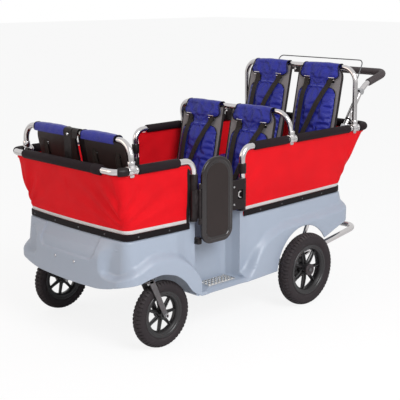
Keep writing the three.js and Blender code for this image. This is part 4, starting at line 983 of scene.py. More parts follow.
class HoopsOperator(bpy.types.Operator):
    """Builds the three hoops that carry the seat backs, with their clamps and brackets"""

    bl_idname = "stroller.hoops"
    bl_label = "Seat hoops"

    def execute(self, context):
        radius = sizes("tubes").hoop
        for name, hoop in HOOPS.items():
            x, y, z = hoop["x"], hoop["y"], hoop["z"]
            legs = whole([(x, y, z + 0.012), (x, hoop["top_y"], hoop["top_z"])])
            put(f"{name}_seat_hoop", tube(legs, radius, 0.062, 32), bright_tube(), [f"{name}_hoop"])
            both(f"{name}_rail_clamp", self.clamp(x, y, z), bright_tube(), sharp=40)
            head = screw((x + 0.0158, y, z + 0.001), (1, 0, 0), 0.005, 0.003)
            both(f"{name}_clamp_screw", head, plated_steel())
            self.bracket(name, hoop)
        return {"FINISHED"}

    def clamp(self, x, y, z):
        barrel = collar((x, 0, z), 0.0162, y - 0.021, y + 0.021, "y", 0.0025)
        beads = [collar((x, 0, z), 0.0172, y + a - 0.003, y + a + 0.003, "y", 0.0012)
                 for a in (-0.018, 0.018)]
        neck = collar((x, y, 0), 0.0142, z + 0.008, z + 0.034, "z", 0.002)
        lug = slab(outline((y - 0.01, z - 0.024), (y + 0.01, z - 0.008), 0.005, 5),
                   x - 0.005, x + 0.005, "x")
        return joined(barrel, *beads, neck, lug)

    def bracket(self, name, hoop):
        """What hangs on a hoop between two seats: straps at the front, a block elsewhere."""
        y, z = hoop["top_y"], hoop["top_z"]
        if name == "front":
            self.straps(y, z)
            place = (-0.027, y - 0.0157, z - 0.008)
        else:
            low_x, high_x, deep = (-0.026, 0.01, 0.06) if name == "middle" else (-0.016, 0.018, 0.036)
            put(f"{name}_hoop_block", block((low_x, y - 0.013, z - deep), (high_x, y + 0.01, z - 0.0115)),
                black_plastic(), bevel=0.002)
            place = (low_x + 0.008, y - 0.0128, z - 0.021)
        put(f"{name}_strap_screw", screw(place, (0, -1, 0), 0.0062, 0.0035), plated_steel())

    def straps(self, y, z):
        """Two straps over the front hoop: one down before it, one between the seats to the bench."""
        reach = 0.0135
        over = z + reach
        outer = [(reach, z - 0.018), (reach, over), (-reach, over), (-reach, 0.56)]
        inner = [(-reach, z - 0.02), (-reach, over), (reach, over), (reach, z - 0.02),
                 (reach + (z - 0.405) * 0.2, 0.405)]
        for label, low_x, high_x, path, bends, thick in (
                ("outer", -0.05, -0.005, outer, 0.011, 0.0022),
                ("inner", -0.001, 0.033, inner, (0.011, 0.011, 0.02), -0.0022)):
            rows = []
            for point, heading in route([(0, y + a, b) for a, b in path], bends):
                back = (point.y + heading.z * thick, point.z - heading.y * thick)
                rows.append([(low_x, point.y, point.z), (high_x, point.y, point.z),
                             (high_x, *back), (low_x, *back)])
            put(f"front_{label}_strap", capped(rows), black_plastic(), bevel=0.0006)


class PadsOperator(bpy.types.Operator):
    """Builds the foam pads and the black sleeves on the rails"""

    bl_idname = "stroller.pads"
    bl_label = "Foam pads and sleeves"

    def execute(self, context):
        tubes = sizes("tubes")
        front, rear, pad = FRONT_RAIL, REAR_RAIL, tubes.pad
        cross = lambda *xs: [(x, front["y"], front["z"]) for x in xs]
        along = lambda rail, *ys: [(rail["x"], y, rail_z(rail, y)) for y in ys]
        self.pad(put, "front_rail_foam", cross(0.2, -0.243), pad, ["front_rail_pad"])
        self.pad(put, "front_foam_cuff", cross(0.242, 0.196), pad + 0.0022, [])
        self.pad(put, "rear_rail_foam", whole(along(rear, 0.39, rear["y"])), pad, ["rear_rail_pad"],
                 rear["corner"])
        start = rear["post"] + POST_BEND + 0.018
        for name, run in (("front", along(front, -0.895, -0.697)), ("middle", along(rear, start, -0.089)),
                          ("rear", along(rear, -0.035, 0.324))):
            self.pad(both, f"{name}_side_foam", run, pad, [f"{name}_side_pad_{{}}"])
        bend = front["corner"]
        inset = bend * (1 - sqrt(0.5))
        corner = [(front["x"] - inset, front["y"] + inset, front["z"]),
                  *along(front, front["y"] + bend - bend * tan(pi / 8), -0.944)]
        both("front_corner_cover", foam_tube(corner, tubes.sleeve, bend), black_plastic(),
             ["front_corner_sleeve_{}"])
        return {"FINISHED"}

    def pad(self, maker, name, corners, radius, nodes, bends=0.0):
        made = maker(name, foam_tube(corners, radius, bends), black_foam(), nodes)


def moved_end(rim, door):
    facing = copysign(1, rim["face"] - rim["door"])
    corner_y = rim["face"] - facing * rim["corner"]
    share = (door - rim["door"]) / (corner_y - rim["door"])
    return {**rim, "door": door, "door_x": mix(rim["door_x"], rim["side_x"], share)}


def cloth_end(name):
    rim, rail, door = {
        "front": (FRONT_RIM, FRONT_RAIL, -0.6375), "rear": (REAR_RIM, REAR_RAIL, -0.3375),
    }[name]
    high = {"door": door, "door_x": rail["x"], "side_x": rail["x"], "face": rail["y"],
            "corner": rail["corner"]}
    return moved_end(rim, door), high, rail


def cloth_top(rail, y):
    """The cloth ends under the pads and dips where a rail bends down to its post."""
    tubes = sizes("tubes")
    facing = copysign(1, rail["post"] - rail["y"])
    past = (y - (rail["post"] - facing * POST_BEND)) * facing
    top = rail_z(rail, y) - tubes.pad + 0.002
    if past <= 0:
        return top
    inner = POST_BEND - tubes.rail - 0.0006
    drop = inner - sqrt(max(0.0, inner * inner - min(past, inner) ** 2))
    return min(top, rail_z(rail, y) - tubes.rail - 0.0006 - drop)


def cloth_surface(name, side, corner, face, levels, lift=0.0013, low=None):
    """Rows of points of a cloth side, from the rim up to the rail."""
    tub = sizes("tub")
    rim, high, rail = cloth_end(name)
    shares = np.linspace(0, 1, side + 1)[:-1]
    below = plan(rim, shares, corner, even(face))
    above = plan(high, shares, corner, even(face), 0.0)
    rows = []
    for level in levels:
        row = []
        for (x, y, nx, ny), (rx, ry, _, _) in zip(below, above):
            top = cloth_top(rail, ry)
            z = mix(tub.rim, top, level) if low is None else low + level
            if level < 0:
                z = tub.rim + level
            rise = max(0.0, (z - tub.rim) / (rail["z"] - tub.rim))
            out = lift - 0.008 * rise * (1 - rise)
            if rise > 0:
                out += cloth_fold(name, x, y, nx, ny, rise)
            px, py = mix(x, rx, rise), mix(y, ry, rise)
            row.append((px + nx * out, py + ny * out, z))
        rows.append(row)
    return rows


def cloth_fold(name, x, y, nx, ny, rise):
    """Soft pulls in the cloth: long waves, and creases that run out of the corners."""
    rim, rail, depth = (FRONT_RIM, FRONT_RAIL, 0.0056) if name == "front" else (REAR_RIM, REAR_RAIL, 0.003)
    along = x if abs(ny) > 0.7 else y
    slow = noise.noise(Vector((along * 3.1 + (7 if nx > 0 else 0), rise * 1.4, 0.3))) * 0.0055
    away = hypot(y - rim["face"], abs(x) - 0.28)
    turn = atan2(rise * 0.26, away + 0.04)
    pull = sin(turn * 17 + (1.7 if x > 0 else 0.2)) * depth * exp(-away * 4.6)
    near = abs(y - rail["post"])
    creases = sin((near * 0.8 + (1 - rise) * 0.3) * 60) * 0.0018 * exp(-near * 8) * (1 - abs(ny))
    return (slow + pull + creases) * sin(pi * min(1.0, rise))


class ClothOperator(bpy.types.Operator):
    """Builds the two cloth sides with their bright bands, bindings and clamped strips"""

    bl_idname = "stroller.cloth"
    bl_label = "Cloth sides"

    def execute(self, context):
        tub = sizes("tub")
        levels = [-0.022, -0.012, -0.004, *np.linspace(0.0, 1.0, 30)]
        for name, (side, corner, face), (width, height, area), tape in (
                ("front", (60, 10, 40), (1.33, 0.258, 0.32), binding_tape()),
                ("rear", (100, 12, 40), (2.19, 0.28, 0.57), red_canvas())):
            rows = cloth_surface(name, side, corner, face, levels)
            piece = put(f"{name}_cloth_side", grid(rows), red_canvas(), [f"{name}_cloth"], sharp=80)
            self.thicken(piece, 0.0011)
            band_rows = cloth_surface(name, side, corner, face,
                                      [0.0, 0.0012, 0.0125, 0.0137], 0.0023, tub.rim + 0.0006)
            band = put(f"{name}_bright_band", grid(band_rows), silver_band())
            self.thicken(band, 0.0006)
            for label, end in (("left", 0), ("right", -1)):
                edge = [Vector(row[end]) for row in rows[3:]]
                self.binding(name, label, edge, tape)
            self.hem(name, [Vector(p) for p in rows[-1]])
            self.strip(name, side, corner, face)
        return {"FINISHED"}

    def thicken(self, piece, amount):
        skin = piece.modifiers.new("Thickness", "SOLIDIFY")
        skin.thickness, skin.offset = amount, 0

    def binding(self, name, label, edge, material):
        """A tape folded round the upright edge of the cloth."""
        inward = -1 if name == "front" else 1
        rows = []
        for point in edge:
            sign = copysign(1, point.x)
            ring = [(0.0, 0.0018), (0.011, 0.0019), (0.0125, 0.0012), (0.0125, -0.0008),
                    (0.0, -0.0018), (-0.0012, 0.0)]
            rows.append([(point.x + sign * b, point.y + inward * a, point.z) for a, b in ring])
        return put(f"{name}_edge_binding_{label}", capped(rows), material)

    def hem(self, name, top):
        """The seam along the cloth's upper edge."""
        rows = []
        for i, point in enumerate(top):
            before, after = top[max(0, i - 1)], top[min(len(top) - 1, i + 1)]
            heading = (after - before).normalized()
            out = heading.cross(Vector((0, 0, 1))).normalized()
            ring = [(0.0016, 0.001), (0.0016, -0.007), (0.001, -0.0082), (-0.001, -0.0082),
                    (-0.0016, -0.007), (-0.0016, 0.001)]
            rows.append([tuple(point + out * a + Vector((0, 0, b))) for a, b in ring])
        return put(f"{name}_top_hem", capped(rows), red_canvas())

    def strip(self, name, side, corner, face):
        """The strip that clamps the cloth to the tub's rim, with its screws."""
        tub = sizes("tub")
        rim, _, _ = cloth_end(name)
        low, high = tub.rim - RIM_BAND + 0.0006, tub.rim
        ring = [(0.0026, low), (0.0064, low), (0.0074, low + 0.001), (0.0076, low + 0.003),
                (0.0076, high - 0.003), (0.0074, high - 0.001), (0.0064, high), (0.0026, high)]
        stations = plan(rim, np.linspace(0, 1, side // 2)[:-1], corner, even(face // 2))
        rows = [[(x + nx * a, y + ny * a, z) for a, z in ring] for x, y, nx, ny in stations]
        put(f"{name}_clamp_strip", capped(rows), strip_rubber(), [f"{name}_trim_strip"], sharp=30)
        spots, run, last = [], 0.045, stations[0]
        for station in stations:
            run += hypot(station[0] - last[0], station[1] - last[1])
            last = station
            if run > 0.138 and (abs(station[2]) > 0.99 or abs(station[3]) > 0.99):
                spots.append(station)
                run = 0.0
        heads = [screw((x + nx * 0.0074, y + ny * 0.0074, (low + high) / 2), (nx, ny, 0), 0.0034, 0.0016)
                 for x, y, nx, ny in spots]
        put(f"{name}_strip_screws", joined(*heads), dark_wire(), slot="zinc_steel")


# Seats

ROWS = {
    "front": {"y": -0.922, "z": 0.8, "bench": 0.4, "facing": 1},
    "middle": {"y": -0.083, "z": 0.828, "bench": 0.4, "facing": -1},
    "rear": {"y": 0.359, "z": 0.985, "bench": 0.54, "facing": -1},
}
SEAT = (0.025, 0.275)
BACK_LEAN = 0.2  # how far a back leans away for each metre down
SLOTS = (0.087, 0.224)
SLOT_DROP = 0.06
BOARD_CORNERS = (0.044, 0.01)
NECK_SEAM = 0.154
COVER_SEAT = 0.196
BELT_START, BELT_ENDS = 0.1185, (0.089, 0.112)
COVER_WIDTH = (
    (0.0, 0.098), (0.06, 0.1), (0.085, 0.107), (0.1, 0.11), (0.11, 0.106), (0.118, 0.094),
    (0.124, 0.06), (0.13, 0.05), (0.146, 0.049), (0.156, 0.056), (0.163, 0.085), (0.172, 0.097),
    (0.19, 0.104), (0.26, 0.106), (0.4, 0.1), (0.48, 0.098), (0.56, 0.104), (0.9, 0.108),
)

COVER_HEAD = (
    (0.0, 0.0022), (0.045, 0.0035), (0.075, 0.006), (0.1, 0.0105), (0.113, 0.011),
    (0.121, 0.0065), (0.135, 0.0085), (0.152, 0.0095), (0.165, 0.01),
)


class SeatLine:
    """A bent line seen from the side, with its normals, read by the distance along it."""

    def __init__(self, corners, bends, turn, pitch):
        places = [(p, Vector((0, -h.z, h.y))) for p, h in route(corners, bends, radians(turn))]
        out = [places[0]]
        for place, normal in places[1:]:
            last, last_normal = out[-1]
            count = max(1, round((place - last).length / pitch))
            out += [(last.lerp(place, k / count), last_normal.lerp(normal, k / count).normalized())
                    for k in range(1, count + 1)]
        self.lengths = np.cumsum([0.0] + [(b[0] - a[0]).length for a, b in zip(out, out[1:])])
        self.total = self.lengths[-1]
        self.columns = [[[place[part][k] for place in out] for k in range(3)] for part in (0, 1)]

    def at(self, v):
        point, normal = (Vector([float(np.interp(v, self.lengths, column)) for column in part])
                         for part in self.columns)
        return point, normal.normalized()


def board_line(row):
    """Down the back of the board and along the seat."""
    start, top, foot = 0.0118, row["z"] - 0.004, row["bench"] + 0.0004
    reach = start + (top - foot) * BACK_LEAN
    return SeatLine([(0, start, top), (0, reach, foot), (0, reach + 0.205, foot)], 0.056, 6, 0.01)


def seat_place(row, x, point, normal, lift):
    """From distance before the hoop and height to the stroller's own axes."""
    spot = point + normal * lift
    return (x, row["y"] + row["facing"] * spot.y, spot.z)


def outer_edge(row, point, edge, gap):
    """The recess beside a door takes the corner off a seat."""
    y = row["y"] + row["facing"] * point.y
    return min(edge, float(np.interp(y, *zip(*RECESS))) - gap)


def holed_plate(us, vs, solid, front, back):
    """A plate over a grid of cells, with openings where a cell isn't solid."""
    points, faces = [], []
    for maker in (front, back):
        points += [maker(u, v) for v in vs for u in us]
    width, size = len(us), len(us) * len(vs)
    at = lambda i, j: j * width + i
    full = lambda i, j: 0 <= i < width - 1 and 0 <= j < len(vs) - 1 and solid(i, j)
    for j in range(len(vs) - 1):
        for i in range(width - 1):
            if not full(i, j):
                continue
            a, b, c, d = at(i, j), at(i + 1, j), at(i + 1, j + 1), at(i, j + 1)
            faces += [(a, b, c, d), (d + size, c + size, b + size, a + size)]
            for p, q, other in ((a, b, (i, j - 1)), (b, c, (i + 1, j)),
                                (c, d, (i, j + 1)), (d, a, (i - 1, j))):
                if not full(*other):
                    faces.append((q, p, p + size, q + size))
    return points, faces


def board_shape(row, inset, low, high):
    """A layer of a board, from one height over its back to another, with slots for the belts."""
    line = board_line(row)
    slots = (SLOT_DROP - 0.001, SLOT_DROP + 0.008)
    half_slot = 0.017
    vs = sorted([*np.linspace(inset, 0.05, 9), *slots, *np.linspace(0.078, line.total - inset, 46)])
    us = sorted([*np.linspace(0, 1, 15), *[(x + a - SEAT[0]) / (SEAT[1] - SEAT[0])
                                            for x in SLOTS for a in (-half_slot, half_slot)]])

    def spot(u, v, lift):
        point, normal = line.at(v)
        rounding = lambda radius: radius - sqrt(max(0.0, radius**2 - max(0.0, radius - v) ** 2))
        near = SEAT[0] + inset + rounding(BOARD_CORNERS[1])
        far = outer_edge(row, point, SEAT[1], 0.009) - inset - rounding(BOARD_CORNERS[0])
        return seat_place(row, mix(near, far, u), point, normal, lift)

    def solid(i, j):
        x = SEAT[0] + (us[i] + us[i + 1]) / 2 * (SEAT[1] - SEAT[0])
        v = (vs[j] + vs[j + 1]) / 2
        return not (slots[0] < v < slots[1] and any(abs(x - s) < half_slot for s in SLOTS))

    return holed_plate(us, vs, solid, lambda u, v: spot(u, v, high), lambda u, v: spot(u, v, low))


def board_edge(row):
    """Points along the board's edge, from the seat's front over the top and down again."""
    line, thick = board_line(row), sizes("seats").board

    def spot(x, v):
        point, normal = line.at(v)
        x = min(x, outer_edge(row, point, SEAT[1], 0.009))
        return Vector(seat_place(row, x, point, normal, thick * 0.5))

    outer, inner, end = *BOARD_CORNERS, line.total - 0.002
    path = [spot(SEAT[1], v) for v in np.linspace(end, 0.046, 60)]
    path += [spot(x, outer + 0.0015 - v) for x, v in
             arc(SEAT[1] - outer, 0, outer, np.linspace(0, pi / 2, 8)[1:])]
    path += [spot(x, 0.0015) for x in np.linspace(0.225, 0.037, 18)]
    path += [spot(x, inner + 0.0015 - v) for x, v in
             arc(SEAT[0] + inner, 0, inner, np.linspace(pi / 2, pi, 5)[1:])]
    return path + [spot(SEAT[0], v) for v in np.linspace(0.016, end, 60)]


def sweep(path, radius, sides=10):
    """A round cord along a path of points."""
    places = []
    for i, point in enumerate(path):
        heading = (path[min(i + 1, len(path) - 1)] - path[max(i - 1, 0)]).normalized()
        if not places or (point - places[-1][0]).length > 3e-4:
            places.append((point, heading))
    rows = [[point + (side * cos(a) + up * sin(a)) * radius for a in turns(sides)]
            for point, side, up in frames(places)]
    return capped(rows)


def cover_line(row):
    """The cover's way: from behind the hoop over it, down the back and along the seat."""
    skin = 0.013
    start, top, foot = 0.0203, row["z"] - 0.004, row["bench"] + 0.009
    reach = start + (top - foot) * BACK_LEAN
    corners = [(0, -skin, row["z"] - 0.016), (0, -skin, row["z"] + skin),
               (0, start - 0.0008, row["z"] + skin), (0, reach, foot), (0, reach + COVER_SEAT, foot)]
    return SeatLine(corners, (0.012, 0.013, 0.046), 9, 0.006)


class CoverForm:
    """The cover of a row in its own axes: across the seat, along its length, and off the board."""

    def __init__(self, name):
        self.row = ROWS[name]
        self.line = cover_line(self.row)
        self.total = self.line.total
        self.centre = (SEAT[0] + SEAT[1]) / 2
        self.fold = self.total - COVER_SEAT
        self.us = [sin(pi / 2 * a) for a in np.linspace(-1, 1, 44)]
        self.vs = np.linspace(0, self.total, int(self.total / 0.0048))

    def half(self, v):
        left, corner = self.total - v, 0.03
        width = through(COVER_WIDTH, v)
        if v >= self.fold:
            width = mix(0.101, 0.107, step(v, self.fold, self.total))
        if left < corner:
            width -= corner - sqrt(max(0.0, corner**2 - (corner - left) ** 2))
        return width

    def thick(self, v):
        cushion, fold, end = sizes("seats").cushion, self.fold, self.total
        body = ((0.19, 0.72), (0.26, 1), (fold - 0.05, 1), (fold, 0.86), (fold + 0.07, 1), (end - 0.03, 0.85))
        table = COVER_HEAD + tuple((at, share * cushion) for at, share in body) + ((end, 0.01),)
        return through(table, v)

    def lift(self, u, v):
        """Height of the filling over the board: u from -1 to 1 across, v along."""
        full = self.thick(v)
        dome = max(0.0, 1 - abs(u) ** 3.4) ** 0.55
        body = step(v, 0.16, 0.21)
        grooves = sum(exp(-((u - at) / 0.075) ** 2) for at in (-0.42, 0.42)) * 0.0042
        swell = 0.0022 * (1 - abs(u) ** 2)
        seam = exp(-((v - NECK_SEAM) / 0.004) ** 2) * 0.0022
        return (full + (swell - grooves) * body - seam) * dome

    def wrinkle(self, u, v):
        side = 1 - 0.5 * abs(u)
        spot = Vector((u * 1.1, v * 9, 3.1 if self.row["z"] > 0.9 else self.row["y"] * 5))
        slow = noise.noise(spot) * 0.0034
        fine = noise.noise(Vector((u * 3.1 + v * 14, v * 34, 1.7))) * 0.0018
        radial = sin(atan2(v - 0.15, u * 0.1) * 9) * 0.0026 * exp(-abs(v - 0.15) * 22)
        gather = sin(v * 240 + u * 2.2) * 0.0024 * abs(u) ** 3 * step(v, 0.19, 0.26)
        return (slow + fine + radial + gather) * side

    def edge_x(self, u, v, point):
        half = self.half(v)
        if u > 0 and v >= 0.2:
            half = min(half, outer_edge(self.row, point, SEAT[1], 0.014) - self.centre)
        return self.centre + u * half

    def place(self, u, v, lift):
        point, normal = self.line.at(v)
        return seat_place(self.row, self.edge_x(u, v, point), point, normal, lift)

    def top(self, u, v, end=1.0):
        """Height of the cover's face: the filling with its wrinkles, less at the ends."""
        return (self.lift(u, v) + self.wrinkle(u, v) * (1 - u**4)) * end

    def belt(self, number, v):
        """Where the middle of a belt lies across the seat."""
        return mix(SLOTS[number], BELT_ENDS[number], min(1.0, (v - BELT_START) / 0.29))

    def give(self, index, other_side):
        """How far the filling may lift a point of the cover."""
        us, vs = self.us, self.vs
        ring = 2 * len(us) - 2
        column, v = index % ring, vs[min(index // ring, len(vs) - 1)]
        if not 2 <= column <= len(us) - 3 or v < 0.06 or 0.108 < v < 0.13 or v > self.total - 0.02:
            return 0
        x = self.centre + us[column] * self.half(v)
        x = 2 * self.centre - x if other_side else x
        if abs(v - NECK_SEAM) < 0.005 and abs(us[column]) < 0.8:
            return 0
        half = sizes("seats").belt / 2
        if v > 0.13 and any(abs(x - self.belt(k, v)) < half for k in (0, 1)):
            return 0
        return 0.009 if v > 0.13 else 0.005

    def shape(self):
        rows = []
        for v in self.vs:
            end = min(1.0, (v + 0.002) / 0.01, (self.total - v + 0.002) / 0.014)
            round_end = sqrt(max(0.0, 1 - (1 - end) ** 2))
            above = [self.place(u, v, 0.0006 + self.top(u, v, round_end)) for u in self.us]
            below = [self.place(u, v, 0.0002) for u in reversed(self.us[1:-1])]
            rows.append(above + below)
        return capped(rows)

    def neck_seam(self):
        """The stitched line where the neck of the cover meets its back."""
        return [Vector(self.place(u, NECK_SEAM, self.top(u, NECK_SEAM) + 0.0012))
                for u in np.linspace(-0.72, 0.72, 30)]

    def outline(self):
        """The piping's way round the cover. It stands higher round the head flap."""
        lift = lambda v: 0.0015 + 0.0042 * step(v, 0.045, 0.08) * (1 - step(v, 0.128, 0.15))
        vs = np.linspace(0.004, self.total - 0.004, 150)
        path = [self.place(1, v, lift(v)) for v in vs]
        path += [self.place(u, self.total - 0.003, 0.003) for u in np.linspace(0.9, -0.9, 12)]
        path += [self.place(-1, v, lift(v)) for v in reversed(vs)]
        return [Vector(p) for p in path]


def ribbon(form, path, width):
    """A flat belt over the cover: path holds (x, v, extra lift)."""
    thick, above = 0.0014, 0.0022
    spots, heights, rows = [], [], []
    for x, v, extra in path:
        u = (x - form.centre) / form.half(v)
        spots.append((x, v))
        heights.append((form.lift(u, v) if abs(u) < 1 else 0.0) + extra)
    for _ in range(6):
        middle = [max(b, (a + b + c) / 3) for a, b, c in zip(heights, heights[1:], heights[2:])]
        heights = [heights[0], *middle, heights[-1]]
    for i, (x, v) in enumerate(spots):
        before, after = spots[max(0, i - 1)], spots[min(len(spots) - 1, i + 1)]
        run, drift = after[1] - before[1], after[0] - before[0]
        slope = drift / max(1e-6, hypot(run, drift))
        square = sqrt(1 - slope * slope)
        ring = []
        for a, b in ((-0.5, 0), (0.5, 0), (0.5, 1), (0.42, 1.35), (-0.42, 1.35), (-0.5, 1)):
            off = a * width
            point, normal = form.line.at(v - off * slope)
            ring.append(seat_place(form.row, x + off * square, point, normal,
                                   heights[i] + above + thick * b))
        rows.append(ring)
    return capped(rows)


class SeatsOperator(bpy.types.Operator):
    """Builds the six seats: bent boards, padded covers, belts and sliders"""

    bl_idname = "stroller.seats"
    bl_label = "Seats"

    def execute(self, context):
        for name in ROWS:
            self.boards(name)
            self.covers(name)
            self.belts(name)
        return {"FINISHED"}

    def boards(self, name):
        row, thick = ROWS[name], sizes("seats").board
        back = board_shape(row, 0.001, 0.0, thick - 0.0014)
        face = board_shape(row, 0.005, thick - 0.0012, thick)
        both(f"{name}_board", back, board_plastic(), [f"{name}_seat_board_{{}}"], sharp=40)
        both(f"{name}_board_face", face, face_plastic(), sharp=40)
        both(f"{name}_board_lip", sweep(board_edge(row), 0.0042), black_plastic(), slot="seat_board")

    def covers(self, name):
        form = CoverForm(name)
        for side, sign in SIDES:
            shape = filled(form, name, sign < 0)
            piece = put(f"{name}_cover_{side}", shape if sign > 0 else mirrored(shape), blue_canvas(),
                        [f"{name}_seat_cover_{side}"], sharp=60)
        both(f"{name}_piping", sweep(form.outline(), 0.0019, 8), binding_tape(), slot="blue_cloth")
        both(f"{name}_neck_seam", sweep(form.neck_seam(), 0.0013, 6), seam_thread())

    def belts(self, name):
        """Two belts over a cover, each with two bars at its slot and two ends behind the board."""
        form, width = CoverForm(name), sizes("seats").belt
        belts, tails, bars = [], [], []
        for number, x in enumerate(SLOTS):
            path = []
            for t in np.linspace(0, 1, 46):
                v = mix(BELT_START, form.fold - 0.01, t)
                path.append((form.belt(number, v), v, 0.0012 + 0.004 * step(t, 0.0, 0.06)))
            belts.append(ribbon(form, path, width))
            for lift, drop in ((0.009, -0.004), (0.0065, 0.006)):
                spot, out = form.line.at(BELT_START + drop)
                ends = [Vector(seat_place(form.row, x + a, spot, out, lift)) for a in (-0.0165, 0.0165)]
                bars.append(sweep([ends[0].lerp(ends[1], k / 6) for k in range(7)], 0.0022))
            for end_x, drop in ((-0.01, 0.15), (0.016, 0.175)):
                tails.append(self.tail(form, x, end_x, drop, width * 0.86))
        # Both belts slant the same way on either side, so the right pair is moved, not mirrored
        beside = moved(joined(*belts), Matrix.Translation((-SEAT[0] - SEAT[1], 0, 0)))
        for side, shape in (("left", joined(*belts)), ("right", beside)):
            put(f"{name}_belts_{side}", shape, webbing(), sharp=50)
        both(f"{name}_belt_tails", joined(*tails), webbing(), sharp=50)
        both(f"{name}_belt_sliders", joined(*bars), bright_tube())

    def tail(self, form, x, end_x, drop, width):
        """A belt end that hangs behind the board from its slot."""
        rows = []
        for t in np.linspace(0, 1, 20):
            spot, normal = form.line.at(BELT_START - 0.003 + drop * t)
            lift = -0.0085 - 0.003 * step(t, 0.0, 0.1) - 0.004 * sin(pi * t)
            centre = x + end_x * t
            ring = [(-0.5, 0), (0.5, 0), (0.5, -0.0014), (-0.5, -0.0014)]
            rows.append([seat_place(form.row, centre + a * width, spot, normal, lift + b) for a, b in ring])
        return capped(rows)


def seam_thread():
    return finish("Seam thread", "blue_cloth", (0.12, 0.14, 0.5), 0.5, scale=1200, bump=0.00005)


def face_plastic():
    return finish("Seat face plastic", "seat_board", (0.19, 0.175, 0.18), 0.5, scale=900, bump=0.00006,
                  patches=0.04, dust=0.05)


FILLING_TIME = 18  # frames


def filled(form, name, other_side):
    """The cover blown up by its filling for some frames: back, edges and what a belt holds stay."""
    shape = form.shape()
    points, faces = shape
    mesh = bpy.data.meshes.new("Filling trial")
    mesh.from_pydata(points, [], faces)
    clean(mesh, 0)
    trial = placed("Filling trial", mesh)
    scene = bpy.context.scene
    bpy.context.view_layer.objects.active = trial
    held = trial.vertex_groups.new(name="held")
    give = np.array([form.give(i, other_side) for i in range(len(points))])
    held.add([i for i, most in enumerate(give) if not most], 1.0, "REPLACE")
    before = np.array(points)
    cloth = trial.modifiers.new("Cloth", "CLOTH")
    settings = cloth.settings
    settings.vertex_group_mass = "held"
    settings.use_pressure = True
    settings.uniform_pressure_force = sizes("seats").puff
    settings.effector_weights.gravity = 0
    settings.shrink_min = -0.07
    settings.quality, settings.mass = 6, 0.3
    settings.bending_stiffness, settings.tension_stiffness, settings.shear_stiffness = 0.2, 18, 6
    cloth.point_cache.frame_start, cloth.point_cache.frame_end = 1, FILLING_TIME + 2
    for number in range(1, FILLING_TIME + 1):
        scene.frame_set(number)
    drawn = trial.evaluated_get(bpy.context.evaluated_depsgraph_get())
    after = np.array([v.co for v in drawn.data.vertices])
    scene.frame_set(1)
    bpy.data.objects.remove(trial)
    shift = after - before
    size = np.linalg.norm(shift, axis=1)
    print(name, "filling moved the cloth by", round(float(size.max()) * 1000, 1), "mm")
    shift *= (give / np.maximum(size, np.maximum(give, 1e-6)))[:, None]
    return [tuple(p) for p in before + shift], faces


# Doors

DOOR_LOW, DOOR_HIGH = (-0.602, 0.369), (-0.437, 0.705)
HINGE = (0.352, -0.611)
LATCH = {"front": -0.434, "rear": -0.357, "low": 0.477, "high": 0.596, "x": 0.344}


def face_black():
    return finish("Door panel plastic", "black_plastic", (0.023, 0.0165, 0.0155), 0.4, scale=1500,
                  bump=0.00005, patches=0.06, dust=0.015, gloss=0.17)


def rim_black():
    return finish("Door rim plastic", "black_plastic", colours().black, 0.22, scale=1600, bump=0.00003,
                  patches=0.06, dust=0.03, gloss=0.5)


def door_ring(inset, radii, steps):
    """The door's outline in Y and Z, drawn in all round by a distance."""
    return outline([v + inset for v in DOOR_LOW], [v - inset for v in DOOR_HIGH], radii, steps)


def door_leaf():
    """The leaf as rings from its outer face over the raised edge to its inner face."""
    corners = (0.048, 0.048, 0.078, 0.078)
    profile = [
        (0.029, 0.3549), (0.0235, 0.3551), (0.0212, 0.3562), (0.0198, 0.358), (0.0184, 0.3589),
        (0.017, 0.359), (0.0152, 0.3584), (0.013, 0.3572), (0.0112, 0.3567), (0.0055, 0.3567),
        (0.0027, 0.3563), (0.0008, 0.3553), (0.0, 0.3538), (0.0, 0.3478), (0.0008, 0.3454),
        (0.0027, 0.3437), (0.0055, 0.343), (0.0145, 0.343), (0.0175, 0.3433), (0.0195, 0.3445),
        (0.0212, 0.3463), (0.0235, 0.3469), (0.029, 0.347),
    ]
    rows = []
    for inset, x in profile:
        ring = door_ring(inset, [max(0.004, c - inset * 0.9) for c in corners], 14)
        rows.append([(x, y, z) for y, z in ring])
    return capped(rows)


